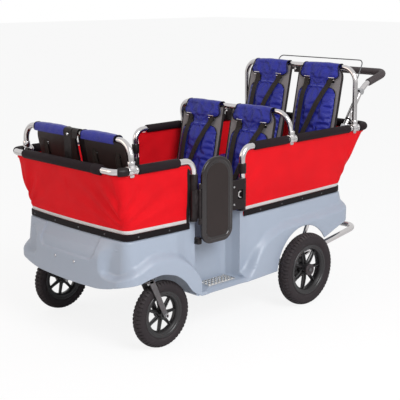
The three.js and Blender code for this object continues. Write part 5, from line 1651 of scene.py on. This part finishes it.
class DoorsOperator(bpy.types.Operator):
    """Builds the two side doors with their hinges, latch plates and thumb catches"""

    bl_idname = "stroller.doors"
    bl_label = "Doors"

    def execute(self, context):
        black, steel = black_plastic(), plated_steel()
        x, y = HINGE
        both("door_leaf", door_leaf(), rim_black(), ["door_{}"], body="door_{}", sharp=45)
        panel = door_ring(0.0255, (0.026, 0.026, 0.053, 0.053), 12)
        for label, low, high in (("outer", 0.354, 0.3556), ("inner", 0.3463, 0.348)):
            both(f"door_{label}_panel", slab(panel, low, high, "x"), face_black(), body="door_{}",
                 bevel=0.0004)
        arms = []
        for low in (0.5885, 0.4525):
            arms.append(collar((x, y, 0), 0.006, low, low + 0.022, "z", 0.0008))
            arms.append(block((x - 0.003, y + 0.002, low + 0.001), (x + 0.003, -0.598, low + 0.021)))
        both("door_knuckles", joined(*arms), black, body="door_{}", bevel=0.0006)
        both("hinge_sleeve", collar(post_foot(FRONT_RAIL), 0.0165, 0.475, 0.646, "z", 0.002), black,
             ["door_hinge_{}"])
        face = slab(outline((-0.645, 0.475), (-0.6125, 0.588), (0.004, 0.002, 0.002, 0.004), 5),
                    0.3405, 0.3465, "x")
        both("hinge_plate", face, black, bevel=0.001)
        barrel = joined(collar((x, y, 0), 0.006, 0.4755, 0.5875, "z", 0.0008),
                        block((0.344, -0.6165, 0.4765), (0.352, y, 0.5865)))
        both("hinge_barrel", barrel, black)
        both("hinge_pin", collar((x, y, 0), 0.003, 0.452, 0.6115, "z", 0.0006), steel)
        stop = slab(outline((-0.6075, 0.369), (-0.587, 0.396), 0.004, 4), 0.316, 0.338, "x")
        both("door_stop", stop, black, bevel=0.0012)
        self.latch(black, steel)
        self.post_sleeves(black)
        return {"FINISHED"}

    def latch(self, black, steel):
        front, rear, x = LATCH["front"], LATCH["rear"], LATCH["x"]
        us = [front, front + 0.003, -0.4, -0.373, rear - 0.0075, rear]
        vs = [LATCH["low"], 0.48, 0.4985, 0.511, 0.518, 0.555, 0.562, 0.5745, 0.59, LATCH["high"]]
        notches = {(4, 2), (4, 6), (4, 0), (4, 8)}

        def solid(i, j):
            corner = i == 0 and j in (0, len(vs) - 2)
            window = i == 2 and j == 4
            return not (window or corner or (i, j) in notches)

        plate = holed_plate(us, vs, solid, lambda u, v: (x + 0.006, u, v), lambda u, v: (x, u, v))
        both("latch_face", plate, black, ["latch_plate_{}"], sharp=30, bevel=0.0008)
        sleeve = [collar(post_foot(REAR_RAIL), 0.0165, low, high, "z", 0.002)
                  for low, high in ((0.477, 0.594), (0.613, 0.654))]
        both("latch_sleeve", joined(*sleeve), black)
        pads = [block((0.326, -0.3735, low), (0.3445, -0.3575, low + 0.028)) for low in (0.477, 0.568)]
        both("latch_pads", joined(*pads), black, bevel=0.001)
        heads = [screw((0.3499, -0.4235, z), (1, 0, 0), 0.0045, 0.0022) for z in (0.57, 0.5)]
        both("latch_screws", joined(*heads), steel)
        bolt = block((0.3377, -0.436, 0.532), (0.3437, -0.397, 0.541))
        both("catch_bolt", bolt, steel, ["latch_catch_{}"], body="catch_{}", bevel=0.0008)
        bow = [Vector((0.3485, -0.3865 - 0.011 * sin(a), 0.5365 + 0.012 * cos(a)))
               for a in np.linspace(-0.15, pi + 0.15, 15)]
        thumb = joined(sweep(bow, 0.0023, 10), block((0.338, -0.397, 0.5335), (0.3475, -0.3945, 0.5395)))
        both("catch_thumb", thumb, bright_tube(), body="catch_{}")

    def post_sleeves(self, black):
        """Short sleeves at the feet of the posts, below the hinges and latches."""
        low = POST_FOOT + 0.0006
        for name, rail in (("front", FRONT_RAIL), ("rear", REAR_RAIL)):
            ring = collar(post_foot(rail), 0.0158, low, low + 0.011, "z", 0.0015)
            both(f"{name}_post_foot", ring, black)


def perforated(low, high, floor, top, across, along, hole, lip):
    """A plate with rows of round holes, each with a raised lip."""
    half_x, half_y = (high[0] - low[0]) / across / 2, (high[1] - low[1]) / along / 2
    circle = arc(0, 0, 1, turns(16) + pi / 16)
    reach = [max(abs(c), abs(s)) for c, s in circle]
    square = [(c / r * half_x, s / r * half_y) for (c, s), r in zip(circle, reach)]
    cells = []
    for i in range(across):
        for j in range(along):
            x, y = low[0] + half_x * (2 * i + 1), low[1] + half_y * (2 * j + 1)
            rows = [[(x + c * r, y + s * r, z) for c, s in circle] for r, z in (
                (hole + 0.0026, top), (hole + 0.0012, top + lip), (hole, top + lip * 0.8), (hole, floor))]
            rows.insert(0, [(x + u, y + v, top) for u, v in square])
            rows.append([(x + u, y + v, floor) for u, v in square])
            cells.append(grid(rows, loop_columns=True))
    return joined(*cells)


class StepsOperator(bpy.types.Operator):
    """Builds the perforated step plates in the two door recesses"""

    bl_idname = "stroller.steps"
    bl_label = "Step plates"

    def execute(self, context):
        low, high = (0.265, -0.534), (0.323, -0.389)
        z = sizes("tub").step + 0.0004
        deck = perforated(low, high, z, z + 0.003, 3, 8, 0.0048, 0.0016)
        border = []
        for out, corner, rise in ((0.0, 0.0004, 0.0), (0.004, 0.008, 0.0), (0.004, 0.008, 0.0032),
                                  (0.003, 0.007, 0.004), (0.0, 0.0004, 0.0035)):
            ring = outline((low[0] - out, low[1] - out), (high[0] + out, high[1] + out), corner, 4)
            border.append([(x, y, z + rise) for x, y in ring])
        rim = grid(border, loop_rows=True, loop_columns=True)
        both("step_deck", joined(deck, rim), step_metal(), ["step_plate_{}"], sharp=40)
        heads = [screw((0.262, y, z + 0.004), (0, 0, 1), 0.0034, 0.0018) for y in (-0.53, -0.393)]
        both("step_screws", joined(*heads), plated_steel())
        return {"FINISHED"}


def step_metal():
    return finish("Galvanised step", "zinc_steel", (0.8, 0.78, 0.75), 0.24, metal=1.0, scale=500,
                  bump=0.00006, patches=0.1, worn=0.2, worn_colour=(0.8, 0.8, 0.8))


# Wheels

HUB_Z = 0.156
CASTER = (0.316, -0.85)  # the swivel's axis, in X and Y
FRONT_HUB = (-0.78, 0.13)  # the front wheels' axis, in Y and Z
REAR_WHEEL = {"radius": 0.156, "width": 0.056, "place": (0.365, 0.0, HUB_Z), "hub": 0.024, "bore": 0.008}
FRONT_WHEEL = {"radius": 0.13, "width": 0.046, "place": (CASTER[0], *FRONT_HUB), "hub": 0.019, "bore": 0.006}
BEAD = 0.672  # radius of a tyre's inner edge, as a share of its outer radius


def tyre_shape(wheel):
    props = sizes("wheels")
    radius, width = wheel["radius"], wheel["width"]
    lugs = props.lugs if radius > 0.14 else round(props.lugs * 0.86)
    bead = radius * BEAD
    section = [(0.0, -0.6, 0), (0.02, -0.74, 0), (0.1, -0.8, 0), (0.16, -0.8, 0), (0.2, -0.86, 0),
               (0.38, -0.975, 0), (0.5, -1.0, 0), (0.66, -0.965, 0), (0.72, -0.94, 0),
               (0.745, -0.925, 1), (0.83, -0.84, 1), (0.9, -0.7, 1), (0.945, -0.55, 1),
               (0.972, -0.36, 1), (0.978, -0.3, 0), (0.955, -0.28, 0), (0.955, -0.2, 0),
               (0.992, -0.17, 2), (1.0, 0.0, 2)]
    section += [(a, -b, c) for a, b, c in reversed(section[:-1])]
    rows = []
    per = 8
    for k in range(lugs * per):
        angle = tau * k / (lugs * per)
        ring = []
        for rise, across, kind in section:
            phase = (k + (per // 2 if across > 0 else 0)) % per
            groove = phase in (0, 1, 2) if kind == 1 else (phase == 0 if kind == 2 else False)
            r = bead + (radius - bead) * rise - (props.tread * (1.0 if kind == 1 else 0.5) if groove else 0)
            ring.append((wheel["place"][0] + across * width / 2,
                         wheel["place"][1] + r * cos(angle), wheel["place"][2] + r * sin(angle)))
        rows.append(ring)
    return grid(rows, loop_rows=True, loop_columns=True)


def rim_shapes(wheel, rear):
    """Rim ring, hub and spokes of a moulded wheel."""
    radius, width, hub = wheel["radius"], wheel["width"], wheel["hub"]
    place = wheel["place"]
    seat = radius * BEAD
    half = width / 2
    outer_half = [(seat + r, half * across) for r, across in (
        (-0.0205, 0.2), (-0.019, 0.42), (-0.014, 0.66), (-0.0075, 0.72), (-0.0055, 0.8),
        (0.0015, 0.84), (0.0028, 0.79), (-0.0005, 0.62))]
    inner_half = [(r, -across) for r, across in reversed(outer_half)]
    ring = ring_body(inner_half[-1:] + [(seat - 0.021, 0)] + outer_half + inner_half[:-1], place, 96)
    face = half * (1.02 if rear else 1.0)
    bore = wheel["bore"] + 0.0006
    core = [(bore, -half), (hub * 0.92, -half), (hub, -half + 0.003), (hub, half * 0.2),
            (hub * 1.05, face * 0.72), (hub * 1.02, face * 0.9), (hub * 0.86, face),
            (hub * 0.45, face), (hub * 0.4, face - 0.002), (bore, face - 0.002)]
    middle_ring = ring_body(core, place, 48)
    spokes = []
    count = sizes("wheels").spokes
    inner, outer = hub * 0.9, seat - 0.0185
    for i in range(count):
        rows = []
        for t in (0, 0.04, 0.3, 0.7, 0.9, 1.0):
            r = mix(inner, outer, t)
            wide = 0.0085 - 0.0035 * t + 0.005 * max(0, t - 0.85) / 0.15 + 0.003 * max(0, 0.05 - t) / 0.05
            deep = 0.0105 - 0.0025 * t
            bow = 0.004 * sin(pi * t) if rear else 0.0
            section = [(deep + bow, 0.0022), (0.002 + bow, 0.0026), (0.0, wide), (-0.003, wide),
                       (-0.0045, 0.0026), (-deep, 0.0022)]
            section += [(x, -w) for x, w in reversed(section)]
            rows.append([(x, w, r) for x, w in section])
        turn = Matrix.Translation(place) @ Matrix.Rotation(tau * (i + 0.28) / count, 4, "X")
        spokes.append(moved(capped(rows), turn))
    return ring, middle_ring, spokes


class WheelsOperator(bpy.types.Operator):
    """Builds the tyres, rims and hub caps of the four wheels"""

    bl_idname = "stroller.wheels"
    bl_label = "Wheels"

    def execute(self, context):
        rubber, black = tyre_rubber(), rim_plastic()
        for name, wheel, rear in (("rear", REAR_WHEEL, True), ("front", FRONT_WHEEL, False)):
            body = f"{name}_wheel_{{}}"
            both(f"{name}_tyre_tread", tyre_shape(wheel), rubber, [f"{name}_tyre_{{}}"], body=body,
                 sharp=38)
            ring, core, spokes = rim_shapes(wheel, rear)
            both(f"{name}_rim_ring", ring, black, [f"{name}_rim_{{}}"], body=body, sharp=30)
            both(f"{name}_rim_hub", core, black, body=body, sharp=30)
            both(f"{name}_rim_spokes", joined(*spokes), black, body=body, bevel=0.0008)
            place = wheel["place"]
            valve = tube([(place[0] + 0.004, place[1] - 0.052, place[2] - 0.028),
                          (place[0] + 0.009, place[1] - 0.072, place[2] - 0.039)], 0.0032, 0, 12, 0.001)
            both(f"{name}_valve", valve, rubber, body=body)
        x, y, z = REAR_WHEEL["place"]
        cap = [(0.0006, 0.028), (0.012, 0.0282), (0.0142, 0.0275), (0.0154, 0.029), (0.019, 0.0306),
               (0.0236, 0.03), (0.0255, 0.027), (0.0255, 0.024), (0.01, 0.024), (0.0006, 0.024)]
        both("hub_cap", round_body(cap, (x, y, z), 48), hub_plastic(), body="rear_wheel_{}", sharp=30)
        drum = [(0.0095, -0.0455), (0.044, -0.0455), (0.046, -0.0435), (0.046, -0.03),
                (0.04, -0.025), (0.03, -0.019), (0.0095, -0.019)]
        both("brake_drum", ring_body(drum, (x, y, z), 64), black, body="rear_wheel_{}", sharp=30)
        return {"FINISHED"}


def hub_plastic():
    return finish("Hub cap plastic", "black_plastic", (0.04, 0.031, 0.034), 0.5, scale=1400,
                  bump=0.00004, patches=0.05, gloss=0.3)


def rim_plastic():
    return finish("Rim plastic", "black_plastic", (0.01, 0.009, 0.01), 0.33, scale=1400, bump=0.00004,
                  patches=0.08, dust=0.05, worn=0.15, worn_colour=(0.08, 0.08, 0.08))


# Chassis, casters and brakes

CHASSIS_Z = 0.1582


class ChassisOperator(bpy.types.Operator):
    """Builds the tube chassis under the tub, the caster heads and the rear axle"""

    bl_idname = "stroller.chassis"
    bl_label = "Chassis"

    def execute(self, context):
        radius = sizes("tubes").chassis
        bright, steel, black = bright_tube(), plated_steel(), black_plastic()
        side = [(0.236, -0.543, CHASSIS_Z), (0.236, -0.15, CHASSIS_Z), (0.29, 0.06, 0.19),
                (0.29, 0.448, 0.252)]
        run = tube(whole(side), radius, (0.09, 0.09, 0.046, 0.046, 0.09, 0.09), 32)
        put("long_chassis_tube", run, bright, ["chassis_frame"])
        plug = collar((0.236, 0, CHASSIS_Z), radius + 0.0022, -0.566, -0.5385, "y", 0.0035)
        both("chassis_plug", plug, black)
        leg = [(0.15, -0.85, 0.318), (0.15, -0.682, 0.318), (0.15, -0.682, CHASSIS_Z),
               (0.15, -0.325, CHASSIS_Z)]
        both("chassis_leg", tube(leg, radius, 0.03, 24), steel, slot="chromed_tube")
        bars = [tube([(-0.232, y, z), (0.232, y, z)], radius, 0, 24) for y, z in
                ((-0.325, CHASSIS_Z), (-0.521, CHASSIS_Z))]
        bars.append(tube([(-0.3, -0.85, 0.318), (0.3, -0.85, 0.318)], radius, 0, 24))
        put("chassis_cross_tubes", joined(*bars), steel, slot="chromed_tube")
        head = ring_body([(0.0095, 0.2872), (0.0185, 0.2872), (0.0195, 0.2885), (0.0195, 0.2915),
                          (0.0185, 0.293), (0.0185, 0.338), (0.0195, 0.3395), (0.0195, 0.3425),
                          (0.0185, 0.3438), (0.0095, 0.3438)], (*CASTER, 0), 40, "z")
        both("caster_head", head, black, slot="chromed_tube", sharp=30)
        strut = tube([(0.284, 0.045, 0.187), (0.297, 0.096, 0.333)], 0.009, 0, 20)
        both("arch_strut", strut, bright)
        ear = outline((-0.02, 0.136), (0.02, 0.182), (0.016, 0.016, 0.004, 0.004), 6)
        both("axle_bracket", slab(ear, 0.265, 0.271, "x"), steel, slot="chromed_tube", bevel=0.0008)
        axle = [(0.0006, -0.398), (0.0045, -0.398), (0.0078, -0.396), (0.0078, 0.396), (0.0045, 0.398),
                (0.0006, 0.398)]
        put("rear_axle_rod", round_body(axle, (0, 0, HUB_Z), 24), dark_wire(), ["rear_axle"],
            slot="zinc_steel")
        plate = ring_body([(0.008, 0.313), (0.044, 0.313), (0.046, 0.314), (0.046, 0.3168),
                           (0.044, 0.318), (0.008, 0.318)], (0, 0, HUB_Z), 64)
        both("brake_plate", plate, steel, sharp=30)
        return {"FINISHED"}


class CastersOperator(bpy.types.Operator):
    """Builds the two swivelling forks with their stems and wheel bolts"""

    bl_idname = "stroller.casters"
    bl_label = "Caster forks"

    def execute(self, context):
        steel, black = fork_steel(), black_plastic()
        blades = []
        lean = atan2(0.281 - FRONT_HUB[1], CASTER[1] - FRONT_HUB[0])
        round_foot = arc(*FRONT_HUB, 0.0104, np.linspace(lean + pi / 2, lean - pi / 2 + tau, 15))
        for low, high in ((0.341, 0.347), (0.285, 0.291)):
            blades.append(slab([(-0.837, 0.281), (-0.863, 0.281)] + round_foot, low, high, "x"))
        crown = slab(outline((0.285, -0.863), (0.347, -0.837), 0.004, 4), 0.269, 0.281, "z")
        both("fork_blades", joined(*blades), steel, ["caster_fork_{}"], body="caster_{}", bevel=0.0012)
        both("fork_crown", crown, steel, body="caster_{}", bevel=0.0015)
        both("fork_collar", collar((*CASTER, 0), 0.0178, 0.2805, 0.2868, "z", 0.001), black,
             body="caster_{}", slot="zinc_steel")
        stem = joined(collar((*CASTER, 0), 0.0088, 0.281, 0.3515, "z", 0.001),
                      slab(arc(*CASTER, 0.0125, turns(6)), 0.3446, 0.3515, "z"))
        both("fork_stem", stem, steel, body="caster_{}", sharp=30)
        six_sides = arc(*FRONT_HUB, 0.0092, turns(6))
        bolt = joined(collar((0, *FRONT_HUB), 0.0056, 0.2785, 0.3535, "x", 0.001),
                      collar((0, *FRONT_HUB), 0.0098, 0.347, 0.3482, "x", 0.0003),
                      slab(six_sides, 0.3482, 0.3535, "x"), slab(six_sides, 0.279, 0.2846, "x"))
        both("fork_bolt", bolt, plated_steel(), body="caster_{}", sharp=30)
        return {"FINISHED"}


def fork_steel():
    return finish("Fork steel", "zinc_steel", (0.085, 0.078, 0.082), 0.38, metal=0.35, scale=700,
                  bump=0.00004, patches=0.08, worn=0.3, worn_colour=(0.3, 0.3, 0.3))


class BrakesOperator(bpy.types.Operator):
    """Builds the two rear brake arms"""

    bl_idname = "stroller.brakes"
    bl_label = "Brake arms"

    def execute(self, context):
        y, z = 0.022, 0.18
        tip = (y + 0.046, z + 0.092 * 0.866)
        lean = atan2(tip[1] - z, tip[0] - y)
        shape = arc(y, z, 0.008, np.linspace(lean + pi / 2, lean - pi / 2 + tau, 12))
        shape += arc(*tip, 0.004, np.linspace(lean - pi / 2, lean + pi / 2, 10))
        arm = slab(shape, 0.3077, 0.3127, "x")
        both("brake_lever_arm", arm, plated_steel(), ["brake_arm_{}"], body="brake_arm_{}", bevel=0.0008)
        pivot = collar((0, y, z), 0.0038, 0.305, 0.318, "x", 0.0006)
        end = collar((0, tip[0], tip[1]), 0.0026, 0.305, 0.315, "x", 0.0005)
        both("brake_arm_pins", joined(pivot, end), plated_steel(), body="brake_arm_{}")
        return {"FINISHED"}


# Handle

# The handle's corners in Y and Z, at this distance from the middle
HANDLE_X = 0.288
BAIL_PIVOT = (0.449, 0.874)
HANDLE_FOOT = (0.338, 0.716)
GRIP_END = (0.636, 0.948)


class HandleOperator(bpy.types.Operator):
    """Builds the push handle with its grip, the brake bail and the brake cable"""

    bl_idname = "stroller.handle"
    bl_label = "Push handle"

    def execute(self, context):
        tubes = sizes("tubes")
        bright, black = bright_tube(), black_plastic()
        path = whole([(HANDLE_X, *spot) for spot in (HANDLE_FOOT, BAIL_PIVOT, (0.492, 0.907), GRIP_END)])
        put("handle_tube", tube(path, tubes.handle, (0.06, 0.06, 0.04, 0.04, 0.06, 0.06), 32), bright,
            ["push_handle"])
        foot = outline((0.326, 0.7165), (0.358, 0.737), (0.004, 0.004, 0.01, 0.012), 6)
        both("handle_foot", slab(foot, 0.2885, 0.3092, "x"), pale_plastic(), bevel=0.0025)
        lug = [(0.341 + 0.0135 * cos(a), 0.7215 + 0.0135 * sin(a) * 1.25) for a in turns(24)]
        both("handle_lug", slab(lug, 0.274, 0.289, "x"), pale_plastic(), bevel=0.002)
        both("handle_bolt", screw((0.2735, 0.341, 0.7215), (-1, 0, 0), 0.0055, 0.0025), plated_steel())
        ring = collar((0, *BAIL_PIVOT), 0.0142, 0.2768, 0.2995, "x", 0.0016)
        both("bail_collar", ring, plated_steel(), slot="chromed_tube")
        grip = whole([(HANDLE_X, 0.504, 0.9104), (HANDLE_X, *GRIP_END)])
        foam = put("grip_foam", foam_tube(grip, tubes.grip, 0.04), grip_foam(), ["handle_grip"])
        foot_x = HANDLE_X - tubes.handle - 0.0006
        bail = whole([(foot_x, *BAIL_PIVOT), (0.25, *BAIL_PIVOT), (0.25, 0.515, 1.0075)])
        put("bail_wire", tube(bail, tubes.wire, (0.008, 0.022, 0.022, 0.008), 12), dark_wire(),
            ["brake_bail"], body="bail")
        reach = HANDLE_X - tubes.handle - tubes.wire - 0.0004
        arm = lambda t: (reach, *[mix(a, b, t) for a, b in zip(HANDLE_FOOT, BAIL_PIVOT)])
        inner = REAR_RAIL["x"] - tubes.pad - tubes.wire
        cable = [arm(0.85), arm(0.0), (reach, 0.331, 0.694), (inner, 0.331, 0.694), (inner, 0.331, 0.716)]
        put("cable_sheath", tube(cable, tubes.wire, (0.06, 0.009, 0.009), 12), cable_sheath(),
            ["brake_cable"])
        clip = collar((0, 0, 0), tubes.handle + 0.0012, -0.004, 0.004, "z", 0.0008)
        rise = Vector(arm(1)) - Vector(arm(0))
        lean = rise.to_track_quat("Z", "Y").to_matrix().to_4x4()
        for number, share in ((1, 0.25), (2, 0.62)):
            spot = (HANDLE_X, *arm(share)[1:])
            put(f"cable_clip_{number}", moved(clip, Matrix.Translation(spot) @ lean), black)
        return {"FINISHED"}


def pale_plastic():
    return finish("Handle joint", "chromed_tube", (0.62, 0.62, 0.64), 0.35, scale=900, bump=0.00003,
                  coat=0.2)


def grip_foam():
    return finish("Grip foam", "black_foam", (0.04, 0.03, 0.032), 0.6, scale=900, bump=0.0001,
                  patches=0.08, dust=0.04)


# Stage: the camera as it was fitted to the photograph

CAMERA = (2.8677, -3.0262, 1.3251)
CAMERA_TURN, CAMERA_DROP = 46.16, 12.57


class StageOperator(bpy.types.Operator):
    """Sets up the camera, the lamps and a plain pale floor"""

    bl_idname = "stroller.stage"
    bl_label = "Camera and lights"

    def execute(self, context):
        props = sizes("stage")
        scene = context.scene
        scene.view_settings.view_transform = "Standard"
        data = bpy.data.cameras.new("Camera")
        camera = placed("Camera", data)
        camera.location = here(CAMERA)
        turn, drop = radians(CAMERA_TURN), radians(CAMERA_DROP)
        view = Vector((-sin(turn) * cos(drop), cos(turn) * cos(drop), -sin(drop)))
        camera.rotation_euler = view.to_track_quat("-Z", "Y").to_euler()
        data.lens, data.sensor_width, data.shift_y = props.lens, 36.0, 0.0005
        data.clip_end = 100
        scene.camera = camera
        self.floor(props)
        self.sky(props)
        self.lamp("Key lamp", (3.3, -1.0, 2.7), (0, -0.2, 0.45), 2.2, props.key, (0.97, 0.98, 1))
        self.lamp("Fill lamp", (-1.6, -3.6, 1.9), (0, -0.2, 0.5), 2.6, props.fill, (1, 0.78, 0.62))
        return {"FINISHED"}

    def floor(self, props):
        mesh = bpy.data.meshes.new("Floor")
        mesh.from_pydata([(-30, -30, 0), (30, -30, 0), (30, 30, 0), (-30, 30, 0)], [], [(0, 1, 2, 3)])
        floor = placed("Floor", mesh)
        material = bpy.data.materials.new("Pale floor")
        material.use_nodes = True
        shader = material.node_tree.nodes["Principled BSDF"]
        shader.inputs["Base Color"].default_value = (*props.floor, 1)
        shader.inputs["Roughness"].default_value = 0.9
        shader.inputs["Specular IOR Level"].default_value = 0.1
        tree = material.node_tree
        seen, _ = self.seen(tree)
        white = node(tree, "ShaderNodeEmission", {"Color": (1, 1, 1, 1), "Strength": 1.0})
        blend = node(tree, "ShaderNodeMixShader", {0: math_node(tree, "MULTIPLY", seen, props.glow),
                                                   1: shader.outputs[0], 2: white.outputs[0]})
        tree.links.new(blend.outputs[0], tree.nodes["Material Output"].inputs["Surface"])
        mesh.materials.append(material)

    def seen(self, tree):
        """Whether the camera sees a point, also through glass, and whether a reflection does."""
        path = tree.nodes.new("ShaderNodeLightPath").outputs
        seen = math_node(tree, "MAXIMUM", path["Is Camera Ray"], path["Is Transmission Ray"])
        return seen, path["Is Glossy Ray"]

    def sky(self, props):
        """An even pale surround: white for the camera and in reflections, softer as a light."""
        world = bpy.data.worlds.new("Surround")
        bpy.context.scene.world = world
        world.use_nodes = True
        tree = world.node_tree
        tree.nodes.clear()
        seen, glossy = self.seen(tree)
        base = math_node(tree, "MAXIMUM", seen, math_node(tree, "MULTIPLY", glossy, 0.9))
        strength = math_node(tree, "MAXIMUM", base, props.sky)
        light = node(tree, "ShaderNodeBackground", {"Color": (1, 1, 1, 1), "Strength": strength})
        out = tree.nodes.new("ShaderNodeOutputWorld")
        tree.links.new(light.outputs[0], out.inputs["Surface"])

    def lamp(self, name, place, target, size, power, colour):
        data = bpy.data.lights.new(name, "AREA")
        data.color = colour
        data.energy, data.size, data.shape = power, size, "DISK"
        lamp = placed(name, data)
        lamp.location = place
        lamp.rotation_euler = (Vector(target) - Vector(place)).to_track_quat("-Z", "Y").to_euler()


class STROLLER_PT_pieces(bpy.types.Panel):
    """Buttons and sizes of the stroller"""

    bl_label = "Day-care stroller"
    bl_idname = "STROLLER_PT_pieces"
    bl_space_type = "VIEW_3D"
    bl_region_type = "UI"
    bl_category = "Stroller"

    def draw(self, context):
        layout = self.layout
        for operator in OPERATORS:
            layout.operator(operator.bl_idname)
        for name, group in GROUPS.items():
            box = layout.box()
            for key in group.__annotations__:
                box.prop(getattr(context.scene, name), key)


OPERATORS = (
    TubOperator, RailsOperator, HoopsOperator, PadsOperator, ClothOperator, SeatsOperator,
    DoorsOperator, StepsOperator, WheelsOperator, ChassisOperator, CastersOperator, BrakesOperator,
    HandleOperator, StageOperator,
)


def register():
    for group in GROUPS.values():
        bpy.utils.register_class(group)
    for name, group in GROUPS.items():
        setattr(bpy.types.Scene, name, PointerProperty(type=group))
    for operator in OPERATORS:
        bpy.utils.register_class(operator)
    bpy.utils.register_class(STROLLER_PT_pieces)


def unregister():
    bpy.utils.unregister_class(STROLLER_PT_pieces)
    for operator in reversed(OPERATORS):
        bpy.utils.unregister_class(operator)
    for name, group in GROUPS.items():
        delattr(bpy.types.Scene, name)
        bpy.utils.unregister_class(group)


def main():
    register()
    for operator in OPERATORS:
        prefix, name = operator.bl_idname.split(".")
        getattr(getattr(bpy.ops, prefix), name)()


if __name__ == "__main__":
    main()
